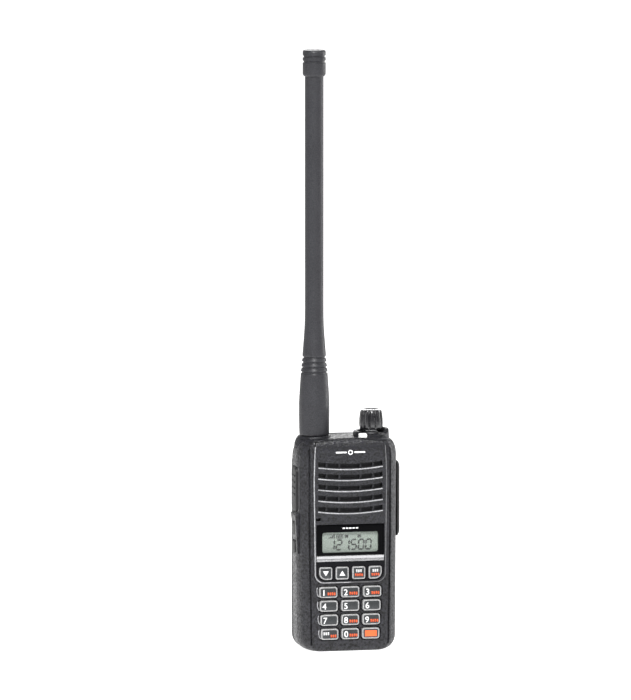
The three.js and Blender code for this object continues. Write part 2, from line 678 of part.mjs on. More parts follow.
// ---------------------------------------------------------------- belt clip
function clipBase() {
  const outline = roundedRect(-CLIP.halfWidth, CLIP.halfWidth, 66, 96, 2.4);
  const plate = front(outline, PACK_BACK + 0.15, PACK_BACK + 1.8);
  const root = PACK_BACK + 1.5;
  const ear = polygon([[root, 84], [root, 93], [CLIP.pinY, 90.8], [CLIP.pinY + 1.7, 88.5], [CLIP.pinY, 86]]);
  const ears = [-1, 1].map((mirror) => side(ear, mirror * 7.6 - 0.9, mirror * 7.6 + 0.9));
  return united([plate, ...ears]).subtract(rodAlongX(0.95, CLIP.pinY, CLIP.pinZ, -20, 20, 16));
}

function clipLever() {
  const outline = polygon([
    [38.2, 96.5], [39.6, 95.6], [39.9, 88], [39.2, 60], [38.6, 40], [36.6, 35.4], [34.4, CLIP.bottom],
    [33.6, 35.2], [35.4, 38.6], [36.6, 44], [37.3, 60], [37.6, 84], [37.9, 90],
  ]);
  const blade = side(outline, -10.5, 10.5);
  const corners = front(roundedRect(-10.5, 10.5, CLIP.bottom - 1, 97, 4), 30, 45);
  const knuckle = rodAlongX(2.1, CLIP.pinY, CLIP.pinZ, -6.2, 6.2, 16);
  const web = box(-6.2, 6.2, CLIP.pinY - 0.4, 38.6, CLIP.pinZ - 2, CLIP.pinZ + 2);
  const clearance = [-1, 1].map((mirror) => box(mirror * 7.6 - 1.2, mirror * 7.6 + 1.2, 30, 39.1, 85, 94));
  const lever = united([cut(blade.intersect(corners), clearance), knuckle, web]);
  return lever.subtract(rodAlongX(1, CLIP.pinY, CLIP.pinZ, -20, 20, 16));
}

function clipPin() {
  return rodAlongX(0.8, CLIP.pinY, CLIP.pinZ, -8.7, 8.7, 12);
}

// ---------------------------------------------------------------- assembly
function placeBody() {
  place("front_case", frontCase(), CASE_PLASTIC);
  place("front_bezel", frontBezel(), BEZEL_PLASTIC);
  place("display_frame", displayFrame(), GLOSS_BLACK);
  place("display_lens", displayLens(), CLEAR);
  place("trim_bar", trimBar(), SILVER);
  place("function_key_frame", functionKeyFrame(), GLOSS_BLACK);
  place("rear_chassis", rearChassis(), CAST_METAL);
  place("case_gasket", caseGasket(), SOFT_RUBBER);
  place("transmit_lamp_lens", lampLens(), LAMP_WHITE);
  place("chassis_screw_left", chassisScrew(), STEEL, -SCREW_X, 0, SCREW_Z);
  place("chassis_screw_right", chassisScrew(), STEEL, SCREW_X, 0, SCREW_Z);
}

function placeInside() {
  place("lcd_module", lcdModule(), LCD_GREEN);
  place("keypad_mat", keypadMat(), SOFT_RUBBER);
  place("key_board", keyBoard(), BOARD_GREEN);
  place("main_board", mainBoard(), BOARD_GREEN);
  place("rf_shield", rfShield(), STEEL);
  place("speaker_membrane", speakerMembrane(), SOFT_RUBBER);
  place("side_switch_board", sideSwitchBoard(), BOARD_GREEN);
  place("terminal_block", terminalBlock(), NICKEL);
  place("speaker", speaker().rotate([90, 0, 0]), CAST_METAL, 0, 2.5, 86.5);
  place("microphone", microphone().rotate([90, 0, 0]), NICKEL, -18.6, 4.6, 69.8);
  for (const jack of JACKS) {
    place(jack.name, jackSocket(jack), NICKEL, 0, JACK.y, jack.z);
  }
}

function placeControls() {
  for (const row of NUMBER_ROWS) {
    row.names.forEach((name, column) => {
      place(name, numberKey(row.width), KEY_RUBBER, (column - 1) * row.pitch, 0, row.z);
    });
  }
  for (const key of FUNCTION_KEYS) {
    place(key.name, functionKey(key), KEY_RUBBER, key.x, 0, FUNCTION_KEY.z);
  }
  place("talk_button", talkButton(), SOFT_RUBBER);
  for (const key of SIDE_KEYS) {
    place(key.name, sideKey(key), SOFT_RUBBER);
  }
  place("jack_cover", jackCover(), CASE_PLASTIC);
  place("jack_cover_screw", jackCoverScrew(), STEEL, 0, 12.7, 92);
  place("volume_control", volumeControl(), CAST_METAL, KNOB.x, KNOB.y);
  place("volume_shaft", volumeShaft(), STEEL, KNOB.x, KNOB.y);
  place("volume_knob", volumeKnob(), BEZEL_PLASTIC, KNOB.x, KNOB.y);
}

function placeAntenna() {
  place("antenna_socket", antennaSocket(), NICKEL, ANTENNA.x, ANTENNA.y);
  place("antenna_plug", antennaPlug(), NICKEL, ANTENNA.x, ANTENNA.y);
  place("antenna_sleeve", antennaSleeve(), ANTENNA_RUBBER, ANTENNA.x, ANTENNA.y);
  place("antenna_cap", antennaCap(), ANTENNA_RUBBER, ANTENNA.x, ANTENNA.y);
}

function placePack() {
  place("battery_case", packCase(), CASE_PLASTIC);
  place("battery_cover", packCover(), CASE_PLASTIC);
  place("battery_cell_left", batteryCell(), CELL_WRAP, -9.9);
  place("battery_cell_right", batteryCell(), CELL_WRAP, 9.9);
  place("battery_latch", packLatch(), SOFT_RUBBER);
  place("clip_base", clipBase(), CASE_PLASTIC);
  place("clip_lever", clipLever(), CASE_PLASTIC);
  place("clip_pin", clipPin(), STEEL);
}

placeBody();
placeInside();
placeControls();
placeAntenna();
placePack();

// The finished box stands on z = 0 and is centred on the Z axis.
const extent = new THREE.Box3().setFromObject(radio);
const centre = extent.getCenter(new THREE.Vector3());
radio.position.set(-centre.x, -centre.y, -extent.min.z);
radio.updateMatrixWorld(true);

export default radio;
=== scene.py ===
"""The looks of a handheld airband radio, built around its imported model.

Sizes in the classes are millimetres in the radio's own layout: x from the centre line, y back from the
front panel plane, z up from the base. A Datum turns them into the frame's metres.
"""

import logging  # noqa: E402
import math  # noqa: E402
from dataclasses import dataclass, field  # noqa: E402
from enum import Enum  # noqa: E402
from typing import Callable, ClassVar, Iterable, Sequence  # noqa: E402

import bmesh  # noqa: E402
import bpy  # noqa: E402
from mathutils import Matrix, Vector  # noqa: E402


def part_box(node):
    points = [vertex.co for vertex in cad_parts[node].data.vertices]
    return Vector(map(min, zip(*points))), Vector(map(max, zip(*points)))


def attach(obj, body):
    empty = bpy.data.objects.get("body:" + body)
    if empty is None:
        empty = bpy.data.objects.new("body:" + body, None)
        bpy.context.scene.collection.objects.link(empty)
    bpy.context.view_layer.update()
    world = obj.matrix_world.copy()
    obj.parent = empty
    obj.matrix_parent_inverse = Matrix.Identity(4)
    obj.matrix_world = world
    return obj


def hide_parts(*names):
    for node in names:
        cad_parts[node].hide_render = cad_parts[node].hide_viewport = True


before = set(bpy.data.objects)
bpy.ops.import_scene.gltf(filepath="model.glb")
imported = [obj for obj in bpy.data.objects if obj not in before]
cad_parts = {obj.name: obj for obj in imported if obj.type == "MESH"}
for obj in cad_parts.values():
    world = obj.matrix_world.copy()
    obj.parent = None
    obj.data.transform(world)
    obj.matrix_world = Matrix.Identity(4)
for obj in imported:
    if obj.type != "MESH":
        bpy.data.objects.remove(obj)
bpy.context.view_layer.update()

MM = 0.001
LOG = logging.getLogger("radio")
Point2 = tuple[float, float]
Point3 = tuple[float, float, float]
Colour = tuple[float, float, float]
Ring = list[Point3]


# ------------------------------------------------------------------ where things are
@dataclass(frozen=True)
class Datum:
    """The radio's layout origin in the frame, in metres.

    Args:
        origin: where the centre line, the front panel plane and the base meet.
    """

    origin: Vector

    @classmethod
    def from_frame(cls, trim_front: float = 1.2) -> "Datum":
        """Finds the origin from the trim bar, which is centred and stands proud of the panel plane.

        Args:
            trim_front: how far the bar's front stands before the panel plane.

        Returns:
            The datum.
        """
        low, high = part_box("trim_bar")
        return cls(Vector(((low.x + high.x) / 2, low.y + trim_front * MM, 0.0)))

    def matrix(self) -> Matrix:
        """The change from layout millimetres to frame metres."""
        return Matrix.Translation(self.origin) @ Matrix.Scale(MM, 4)

    def at(self, x: float, y: float, z: float) -> Vector:
        """A layout point in frame metres."""
        return self.matrix() @ Vector((x, y, z))

    def layout_box(self, node: str) -> tuple[Vector, Vector]:
        """A node's lowest and highest corners, in layout millimetres.

        Args:
            node: the node's name.

        Returns:
            The lowest and the highest corner.
        """
        back = self.matrix().inverted()
        low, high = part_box(node)
        return back @ low, back @ high


DATUM = Datum.from_frame()


# ------------------------------------------------------------------ shader building
class Signal:
    """A node's output socket, which plain arithmetic can be written with."""

    def __init__(self, bench: "Bench", socket: bpy.types.NodeSocket) -> None:
        """Wraps a socket of the bench's tree."""
        self.bench = bench
        self.socket = socket

    def _maths(self, operation: str, first: object, second: object, clamp: bool = False) -> "Signal":
        """One Math node on two values or signals."""
        settings = {"operation": operation, "use_clamp": clamp}
        return self.bench.add("ShaderNodeMath", settings, {0: first, 1: second})

    def __add__(self, other: object) -> "Signal":
        """self + other."""
        return self._maths("ADD", self, other)

    def __radd__(self, other: object) -> "Signal":
        """other + self."""
        return self._maths("ADD", other, self)

    def __sub__(self, other: object) -> "Signal":
        """self - other."""
        return self._maths("SUBTRACT", self, other)

    def __rsub__(self, other: object) -> "Signal":
        """other - self."""
        return self._maths("SUBTRACT", other, self)

    def __mul__(self, other: object) -> "Signal":
        """self * other."""
        return self._maths("MULTIPLY", self, other)

    def __rmul__(self, other: object) -> "Signal":
        """other * self."""
        return self._maths("MULTIPLY", other, self)

    def __pow__(self, other: object) -> "Signal":
        """self ** other."""
        return self._maths("POWER", self, other)

    def above(self, limit: float, width: float = 0.08) -> "Signal":
        """A soft mask that is 1 where the signal is above a limit.

        Args:
            limit: the value where the mask is half way.
            width: how wide the soft step is.

        Returns:
            The mask, from 0 to 1.
        """
        slope = 1.0 / width
        return self._maths("ADD", self * slope, 0.5 - limit * slope, clamp=True)


class Bench:
    """Builds one material's nodes."""

    def __init__(self, name: str) -> None:
        """Starts an empty material.

        Args:
            name: the material's name.
        """
        self.material = bpy.data.materials.new(name)
        self.material.use_nodes = True
        self.tree = self.material.node_tree
        self.tree.nodes.clear()
        self._place: Signal | None = None

    def add(self, kind: str, settings: dict | None = None, inputs: dict | None = None,
            output: int | str = 0) -> Signal:
        """Adds a node.

        Args:
            kind: the node's type name.
            settings: its properties; "stops" gives a colour ramp's stops as (position, colour).
            inputs: values or signals by socket name or number.
            output: which output the signal reads.

        Returns:
            The output as a signal.
        """
        node = self.tree.nodes.new(kind)
        for key, value in (settings or {}).items():
            if key == "stops":
                self._set_stops(node.color_ramp, value)
            else:
                setattr(node, key, value)
        for key, value in (inputs or {}).items():
            if isinstance(value, Signal):
                self.tree.links.new(value.socket, node.inputs[key])
            else:
                node.inputs[key].default_value = value
        return Signal(self, node.outputs[output])

    @staticmethod
    def _set_stops(ramp: bpy.types.ColorRamp, stops: Sequence[tuple[float, Colour]]) -> None:
        """Gives a ramp its stops.

        Args:
            ramp: the colour ramp.
            stops: (position, colour) pairs in order.
        """
        while len(ramp.elements) < len(stops):
            ramp.elements.new(0.5)
        for element, (position, colour) in zip(ramp.elements, stops):
            element.position = position
            element.color = (*colour, 1.0)

    def place(self) -> Signal:
        """The piece's own coordinates, in metres.

        Returns:
            The coordinates, from one shared node.
        """
        if self._place is None:
            self._place = self.add("ShaderNodeTexCoord", output="Object")
        return self._place

    def stretched(self, factors: Point3) -> Signal:
        """The piece's coordinates, scaled along each axis."""
        return self.add("ShaderNodeMapping", None, {"Vector": self.place(), "Scale": factors})

    def noise(self, size_mm: float, detail: float = 2.0, rough: float = 0.5,
              along: Point3 = (1, 1, 1)) -> Signal:
        """Noise with features of a given size.

        Args:
            size_mm: how far apart the features are.
            detail: how many finer octaves are added.
            rough: how strong the finer octaves are.
            along: a stretch along each axis; a small number draws the features out.

        Returns:
            The noise, from 0 to 1.
        """
        inputs = {"Vector": self.stretched(along), "Scale": 1.0 / (size_mm * MM), "Detail": detail,
                  "Roughness": rough}
        return self.add("ShaderNodeTexNoise", None, inputs, "Fac")

    def blend(self, factor: object, first: object, second: object, mode: str = "MIX") -> Signal:
        """A mix of two colours.

        Args:
            factor: how much of the second colour there is.
            first: a colour or signal.
            second: a colour or signal.
            mode: the mix node's blend type.

        Returns:
            The mixed colour.
        """
        pair = [value if isinstance(value, Signal) else (*value, 1.0) for value in (first, second)]
        settings = {"data_type": "RGBA", "blend_type": mode}
        return self.add("ShaderNodeMix", settings, {0: factor, 6: pair[0], 7: pair[1]}, 2)

    def bump(self, height: Signal, strength: float, depth_mm: float) -> Signal:
        """A normal from a height."""
        inputs = {"Strength": strength, "Distance": depth_mm * MM, "Height": height}
        return self.add("ShaderNodeBump", None, inputs, "Normal")

    def finish(self, inputs: dict) -> bpy.types.Material:
        """Ends the material with a Principled shader.

        Args:
            inputs: the shader's values and signals.

        Returns:
            The material.
        """
        shader = self.add("ShaderNodeBsdfPrincipled", None, inputs, "BSDF")
        self.add_output(shader)
        return self.material

    def add_output(self, shader: Signal) -> None:
        """Joins a shader to the material's output."""
        node = self.tree.nodes.new("ShaderNodeOutputMaterial")
        self.tree.links.new(shader.socket, node.inputs["Surface"])


def scaled(colour: Colour, factor: float) -> Colour:
    """A colour made lighter or darker."""
    return tuple(min(1.0, channel * factor) for channel in colour)


class Finish:
    """A surface finish. Each one makes its material once."""

    made: ClassVar[dict[str, bpy.types.Material]] = {}
    label: str

    def paint(self, bench: Bench) -> bpy.types.Material:
        """Builds the material's nodes."""
        raise NotImplementedError

    def material(self) -> bpy.types.Material:
        """The finish's material, made on first use.

        Returns:
            The material.
        """
        if self.label not in Finish.made:
            Finish.made[self.label] = self.paint(Bench(self.label))
        return Finish.made[self.label]


@dataclass(frozen=True)
class MouldedSkin(Finish):
    """Moulded plastic or rubber with a fine texture, faint clouding and light scuffs."""

    label: str
    tone: Colour
    roughness: float
    grain_mm: float = 0.55
    grain_depth_mm: float = 0.12
    grain: float = 0.5
    scuff: float = 0.12
    coat: float = 0.0
    mottle: float = 0.3
    shine: float = 0.5

    def paint(self, bench: Bench) -> bpy.types.Material:
        """Builds the texture from two sizes of grain, cloud and stretched scuffs.

        Args:
            bench: an empty material to build in.

        Returns:
            The material.
        """
        fine = bench.noise(self.grain_mm, 2.0, 0.6)
        coarse = bench.noise(self.grain_mm * 2.4, 1.0)
        cloud = bench.noise(14.0, 3.0)
        scuffs = bench.noise(3.2, 4.0, 0.65, (1.0, 1.0, 0.25)).above(0.66, 0.1)
        worn = scuffs * self.scuff
        speckle = (fine - 0.5) * 3.6 + (cloud - 0.5) * 0.5 + 0.5
        shade = bench.blend(speckle, scaled(self.tone, 1 - self.mottle), scaled(self.tone, 1 + self.mottle))
        colour = bench.blend(worn, shade, scaled(self.tone, 3.2))
        rough = (cloud - 0.5) * 0.14 - (fine - 0.5) * self.mottle + self.roughness - worn * 0.4
        height = fine * 0.6 + coarse * 0.4
        return bench.finish({
            "Base Color": colour,
            "Roughness": rough,
            "Normal": bench.bump(height, self.grain, self.grain_depth_mm),
            "Coat Weight": self.coat,
            "Coat Roughness": 0.25,
            "Specular IOR Level": self.shine,
        })


@dataclass(frozen=True)
class GlossPanel(Finish):
    """Polished black plastic with the faintest swirls and dust."""

    label: str
    tone: Colour
    roughness: float = 0.08
    shine: float = 0.12

    def paint(self, bench: Bench) -> bpy.types.Material:
        """Builds the polish from fine swirl marks and specks.

        Args:
            bench: an empty material to build in.

        Returns:
            The material.
        """
        swirl = bench.noise(6.0, 5.0, 0.6, (1.0, 1.0, 0.4))
        specks = bench.noise(0.5, 1.0).above(0.78, 0.05)
        colour = bench.blend(specks * 0.12 + swirl * 0.1, self.tone, scaled(self.tone, 6.0))
        rough = swirl * 0.1 + specks * 0.2 + self.roughness
        return bench.finish({
            "Base Color": colour,
            "Roughness": rough,
            "Normal": bench.bump(swirl, 0.04, 0.1),
            "Specular IOR Level": self.shine,
        })


@dataclass(frozen=True)
class PolishedMetal(Finish):
    """Bare or plated metal with a drawn grain and small marks."""

    label: str
    tone: Colour
    roughness: float
    metallic: float = 1.0
    drawn: Point3 = (0.05, 1.0, 1.0)
    grain_mm: float = 0.35

    def paint(self, bench: Bench) -> bpy.types.Material:
        """Builds the grain from noise drawn out along one axis.

        Args:
            bench: an empty material to build in.

        Returns:
            The material.
        """
        lines = bench.noise(self.grain_mm, 3.0, 0.6, self.drawn)
        cloud = bench.noise(5.0, 3.0)
        marks = bench.noise(1.4, 3.0, 0.6).above(0.7, 0.08)
        shade = bench.blend(lines * 0.6 + cloud * 0.4, scaled(self.tone, 0.78), scaled(self.tone, 1.12))
        colour = bench.blend(marks * 0.25, shade, scaled(self.tone, 0.55))
        return bench.finish({
            "Base Color": colour,
            "Roughness": (lines - 0.5) * 0.2 + (cloud - 0.5) * 0.1 + marks * 0.15 + self.roughness,
            "Metallic": self.metallic,
            "Normal": bench.bump(lines, 0.12, 0.05),
        })


@dataclass(frozen=True)
class LiquidCrystal(Finish):
    """The grey-green face of a reflective display, with a faint painted glow."""

    label: str
    tone: Colour

    def paint(self, bench: Bench) -> bpy.types.Material:
        """Builds the faint cell grid and the cloudy painted glow.

        Args:
            bench: an empty material to build in.

        Returns:
            The material.
        """
        cloud = bench.noise(16.0, 1.0)
        grid = bench.add("ShaderNodeTexBrick", {"offset": 0.0}, {
            "Vector": bench.stretched((1.0, 1.0, 1.0)), "Scale": 1.0 / (0.9 * MM), "Mortar Size": 0.03,
            "Color1": (1, 1, 1, 1), "Color2": (0.97, 0.97, 0.97, 1), "Mortar": (0.86, 0.88, 0.86, 1),
        }, "Color")
        shade = bench.blend(cloud, scaled(self.tone, 0.95), scaled(self.tone, 1.05))
        return bench.finish({
            "Base Color": bench.blend(0.4, shade, grid, "MULTIPLY"),
            "Roughness": cloud * 0.1 + 0.3,
            # Painted glow: the crystal emits a little light of its own colour, though nothing lights it from
            # behind.
            "Emission Color": shade,
            "Emission Strength": 0.18,
        })


@dataclass(frozen=True)
class ClearPane(Finish):
    """A clear plastic window, thin enough to leave what is behind it unbent."""

    label: str
    tone: Colour = (0.9, 0.95, 0.92)
    cover: float = 0.03

    def paint(self, bench: Bench) -> bpy.types.Material:
        """Builds a mostly see-through gloss with a few fine scratches.

        Args:
            bench: an empty material to build in.

        Returns:
            The material.
        """
        scratches = bench.noise(1.1, 4.0, 0.6, (0.12, 1.0, 1.0)).above(0.7, 0.06)
        return bench.finish({
            "Base Color": (*self.tone, 1.0),
            "Roughness": scratches * 0.2 + 0.03,
            "Alpha": scratches * 0.05 + self.cover,
        })


@dataclass(frozen=True)
class PrintedInk(Finish):
    """Screen-printed ink with a slightly uneven cover."""

    label: str
    tone: Colour
    glow: float = 0.0

    def paint(self, bench: Bench) -> bpy.types.Material:
        """Builds ink whose cover and gloss vary a little.

        Args:
            bench: an empty material to build in.

        Returns:
            The material.
        """
        cover = bench.noise(0.4, 3.0, 0.6)
        return bench.finish({
            "Base Color": bench.blend(cover, scaled(self.tone, 0.86), scaled(self.tone, 1.08)),
            "Roughness": cover * 0.2 + 0.35,
            "Normal": bench.bump(cover, 0.1, 0.03),
            # Painted glow: the emission makes the ink read brighter than the lamps alone light it.
            "Emission Color": (*self.tone, 1.0),
            "Emission Strength": self.glow,
        })


@dataclass(frozen=True)
class CircuitBoard(Finish):
    """Green solder mask over a maze of copper tracks."""

    label: str
    mask: Colour = (0.012, 0.09, 0.04)
    track: Colour = (0.035, 0.2, 0.09)

    def paint(self, bench: Bench) -> bpy.types.Material:
        """Builds tracks and pads from two grids of cells.

        Args:
            bench: an empty material to build in.

        Returns:
            The material.
        """
        tracks = bench.add("ShaderNodeTexVoronoi", {"distance": "MANHATTAN", "feature": "F1"}, {
            "Vector": bench.place(), "Scale": 1.0 / (2.4 * MM)}, "Distance").above(0.55, 0.06)
        pads = bench.noise(1.3, 0.0).above(0.72, 0.03)
        colour = bench.blend(pads, bench.blend(tracks, self.mask, self.track), (0.62, 0.6, 0.5))
        return bench.finish({
            "Base Color": colour,
            "Roughness": 0.42 - pads * 0.15,
            "Metallic": pads * 0.9,
            "Normal": bench.bump(tracks + pads, 0.2, 0.04),
        })


class Look(Enum):
    """The radio's finishes by the place they are used."""

    CASE = MouldedSkin("case_skin", (0.013, 0.013, 0.016), 0.42, grain_mm=1.1, grain_depth_mm=0.5,
                       grain=1.0, mottle=1.0, shine=0.4)
    BEZEL = MouldedSkin("bezel_skin", (0.012, 0.012, 0.015), 0.37, grain_mm=1.0, grain_depth_mm=0.42,
                        grain=1.0, scuff=0.08, mottle=1.0, shine=0.45)
    # Painted highlight: a light grey given to thin lips and edges in place of the light they catch.
    PAINTED_HIGHLIGHT = MouldedSkin("painted_highlight_edge", (0.36, 0.36, 0.375), 0.26, grain_mm=0.8, grain_depth_mm=0.04,
                      grain=0.3, scuff=0.1, coat=0.3)
    # A dimmer painted highlight: the same edges made darker where they face away from the light.
    PAINTED_DIM_HIGHLIGHT = MouldedSkin("painted_dim_highlight_edge", (0.1, 0.1, 0.105), 0.34, grain_mm=0.8, grain_depth_mm=0.04,
                          grain=0.3, scuff=0.1, coat=0.1)
    CHASSIS = MouldedSkin("painted_casting", (0.02, 0.02, 0.022), 0.4, grain_mm=0.7, grain_depth_mm=0.1,
                          grain=0.6, scuff=0.2, mottle=0.5, shine=0.3)
    DARK_RUBBER = MouldedSkin("side_rubber_skin", (0.012, 0.012, 0.013), 0.5, grain_mm=0.5,
                              grain_depth_mm=0.06, scuff=0.2, mottle=0.4, shine=0.3)
    KNOB = MouldedSkin("knob_skin", (0.012, 0.012, 0.014), 0.2, grain_mm=0.4, grain_depth_mm=0.03,
                       grain=0.3, scuff=0.3, coat=1.0)
    ANTENNA = MouldedSkin("antenna_skin", (0.03, 0.03, 0.034), 0.42, grain_mm=0.5, grain_depth_mm=0.03,
                          grain=0.35, scuff=0.06, shine=0.35)
    GASKET = MouldedSkin("gasket_rubber_skin", (0.012, 0.012, 0.014), 0.7, grain_mm=0.5,
                         grain_depth_mm=0.05, grain=0.4, scuff=0.1)
    KEY_RIM = MouldedSkin("key_outline_skin", (0.34, 0.34, 0.34), 0.4, grain_mm=0.5,
                          grain_depth_mm=0.03, grain=0.3, scuff=0.05)
    KEY_FACE = MouldedSkin("key_face_skin", (0.028, 0.031, 0.033), 0.42, grain_mm=0.4,
                           grain_depth_mm=0.03, grain=0.4, scuff=0.1)
    GLOSS = GlossPanel("display_black", (0.0022, 0.0022, 0.0026), 0.1, shine=0.03)
    KEY_PANEL = GlossPanel("key_panel_black", (0.005, 0.005, 0.006), 0.18, shine=0.08)
    TRIM = PolishedMetal("trim_plate", (0.5, 0.5, 0.51), 0.28, metallic=0.85)
    STEEL = PolishedMetal("steel_plate", (0.55, 0.55, 0.56), 0.32)
    NICKEL = PolishedMetal("nickel_plate", (0.62, 0.59, 0.52), 0.24, drawn=(1.0, 1.0, 0.1))
    BRASS = PolishedMetal("gilt_contact", (0.75, 0.56, 0.25), 0.25, drawn=(1.0, 1.0, 1.0))
    CAST = PolishedMetal("cast_plate", (0.3, 0.3, 0.31), 0.5, metallic=0.85, drawn=(1.0, 1.0, 1.0),
                         grain_mm=0.9)
    LCD = LiquidCrystal("crystal_face", (0.18, 0.212, 0.184))
    LENS = ClearPane("window_clear")
    # The white and orange inks carry a small painted glow.
    WHITE_INK = PrintedInk("white_ink", (0.86, 0.86, 0.86), 0.12)
    ORANGE_INK = PrintedInk("orange_ink", (0.86, 0.13, 0.03), 0.1)
    SEGMENT_INK = PrintedInk("segment_ink", (0.006, 0.007, 0.006))
    ICON_INK = PrintedInk("icon_ink", (0.008, 0.009, 0.008))
    # The lamp lens's glow is a painted highlight that makes the lens read bright white.
    LAMP = PrintedInk("lamp_lens_milk", (0.92, 0.92, 0.9), 0.35)
    BOARD = CircuitBoard("board_mask")
    CELL = MouldedSkin("cell_sleeve", (0.045, 0.12, 0.24), 0.3, grain_mm=1.5, grain_depth_mm=0.03, grain=0.3,
                       scuff=0.1, coat=0.2)


# ------------------------------------------------------------------ outlines and meshes
def arc(centre: Point2, radius: float, start: float, end: float, steps: int) -> list[Point2]:
    """Points on an arc, angles in degrees, both ends included."""
    turns = [math.radians(start + (end - start) * step / steps) for step in range(steps + 1)]
    return [(centre[0] + radius * math.cos(turn), centre[1] + radius * math.sin(turn)) for turn in turns]


def circle(centre: Point2, radius: float) -> list[Point2]:
    """A circle with 24 sides."""
    return arc(centre, radius, 0, 345, 23)


def oval(wide: float, high: float, steps: int) -> list[Point2]:
    """An oval section for a bead, by half its width and half its height."""
    turns = [2 * math.pi * step / steps for step in range(steps)]
    return [(wide * math.cos(turn), high * math.sin(turn)) for turn in turns]


def rounded_rect(half: Point2, radius: float, steps: int = 6, centre: Point2 = (0.0, 0.0)) -> list[Point2]:
    """A rounded rectangle, anticlockwise.

    Args:
        half: half its width and half its height.
        radius: its corners' radius.
        steps: straight steps in each corner.
        centre: its centre.

    Returns:
        The outline's points.
    """
    radius = max(0.01, min(radius, *half))
    dx, dy = half[0] - radius, half[1] - radius
    corners = [(dx, dy, 0), (-dx, dy, 90), (-dx, -dy, 180), (dx, -dy, 270)]
    outline: list[Point2] = []
    for x, y, start in corners:
        outline += arc((centre[0] + x, centre[1] + y), radius, start, start + 90, steps)
    return outline


def filleted(points: Sequence[Point2], radius: float, steps: int = 4, longest: float = 0.0) -> list[Point2]:
    """A closed outline with its corners rounded.

    Args:
        points: the corners in order.
        radius: the most a corner is cut back along its sides.
        steps: straight steps in each corner.
        longest: straight runs are split so that no step is longer, where it isn't 0.

    Returns:
        The smooth outline.
    """
    outline: list[Vector] = []
    count = len(points)
    for index in range(count):
        corner = Vector(points[index])
        before = Vector(points[index - 1]) - corner
        after = Vector(points[(index + 1) % count]) - corner
        reach = min(radius, before.length * 0.45, after.length * 0.45)
        first = corner + before.normalized() * reach
        last = corner + after.normalized() * reach
        for step in range(steps + 1):
            t = step / steps
            outline.append(first * (1 - t) ** 2 + corner * 2 * t * (1 - t) + last * t**2)
    if longest:
        split: list[Vector] = []
        for index, point in enumerate(outline):
            following = outline[(index + 1) % len(outline)]
            parts = max(1, math.ceil((following - point).length / longest))
            split += [point.lerp(following, part / parts) for part in range(parts)]
        outline = split
    return [tuple(point) for point in outline]


class Plane(Enum):
    """How a flat outline's two numbers and its depth become x, y and z."""

    FRONT = (0, 2, 1)
    SIDE = (1, 2, 0)
    PLAN = (0, 1, 2)

    def point(self, a: float, b: float, depth: float) -> Point3:
        """The layout point of an outline point at a depth."""
        found = dict(zip(self.value, (a, b, depth)))
        return (found[0], found[1], found[2])


@dataclass(frozen=True)
class Footprint:
    """The rectangle that a node fills when it is seen square on.

    Args:
        centre: its middle.
        half: half its width and half its height.
    """

    centre: Point2
    half: Point2

    @classmethod
    def of(cls, node: str, plane: Plane, trim: Point2 = (0.0, 0.0)) -> "Footprint":
        """Measures a node.

        Args:
            node: the node's name.
            plane: the side it is seen from.
            trim: how much is taken off the half width and the half height.

        Returns:
            The rectangle.
        """
        low, high = DATUM.layout_box(node)
        a, b, _ = plane.value
        half = ((high[a] - low[a]) / 2 - trim[0], (high[b] - low[b]) / 2 - trim[1])
        return cls(((low[a] + high[a]) / 2, (low[b] + high[b]) / 2), half)

    def outline(self, radius: float, tighten: float = 0.0, steps: int = 5) -> Callable[[float], list[Point2]]:
        """The rounded outline, as a function of how far it is drawn in.

        Args:
            radius: the corners' radius.
            tighten: how much the radius shrinks for each millimetre drawn in.
            steps: straight steps in each corner.

        Returns:
            The function that gives the outline.
        """
        def drawn(inset: float) -> list[Point2]:
            """The outline drawn in by an inset."""
            half = (self.half[0] - inset, self.half[1] - inset)
            return rounded_rect(half, radius - inset * tighten, steps, self.centre)
        return drawn


def ring_mesh(rings: Sequence[Ring]) -> bmesh.types.BMesh:
    """A skin through rings that all have the same number of points.

    Args:
        rings: the rings in order.

    Returns:
        A closed mesh with its faces pointing out.
    """
    mesh = bmesh.new()
    rows = [[mesh.verts.new(point) for point in ring] for ring in rings]
    count = len(rings[0])
    for low, high in zip(rows, rows[1:]):
        for index in range(count):
            after = (index + 1) % count
            mesh.faces.new((low[index], low[after], high[after], high[index]))
    mesh.faces.new(reversed(rows[0]))
    mesh.faces.new(rows[-1])
    bmesh.ops.recalc_face_normals(mesh, faces=mesh.faces)
    return mesh


def slab(outline: Sequence[Point2], plane: Plane, start: float, end: float) -> bmesh.types.BMesh:
    """A flat outline with a thickness."""
    return ring_mesh([[plane.point(a, b, depth) for a, b in outline] for depth in (start, end)])


def block(low: Sequence[float], high: Sequence[float]) -> bmesh.types.BMesh:
    """A box between two corners, for cutting with."""
    outline = [(low[0], low[1]), (high[0], low[1]), (high[0], high[1]), (low[0], high[1])]
    return slab(outline, Plane.PLAN, low[2], high[2])


def turned(profile: Sequence[Point2], centre: Point2, segments: int = 72,
           shape: Callable[[float, float], float] | None = None) -> bmesh.types.BMesh:
    """A turned form about a vertical axis.

    Args:
        profile: [radius, height] points whose ends lie near the axis.
        centre: the axis's x and y.
        segments: steps round the axis.
        shape: gives how much a point is drawn in, from its angle and height.

    Returns:
        The mesh.
    """
    rings = []
    for radius, height in profile:
        ring = []
        for step in range(segments):
            turn = 2 * math.pi * step / segments
            reach = radius - (shape(turn, height) if shape and radius > 1 else 0.0)
            ring.append((centre[0] + reach * math.cos(turn), centre[1] + reach * math.sin(turn), height))
        rings.append(ring)
    return ring_mesh(rings)


def moulding(outline: Callable[[float], Sequence[Point2]], plane: Plane,
             levels: Sequence[Point2]) -> bmesh.types.BMesh:
    """A form whose outline is drawn in by a different amount at each depth.

    Args:
        outline: gives the outline for an inset.
        plane: the plane the outline lies in.
        levels: (inset, depth) pairs in order.

    Returns:
        The mesh.
    """
    return ring_mesh([[plane.point(a, b, depth) for a, b in outline(inset)] for inset, depth in levels])


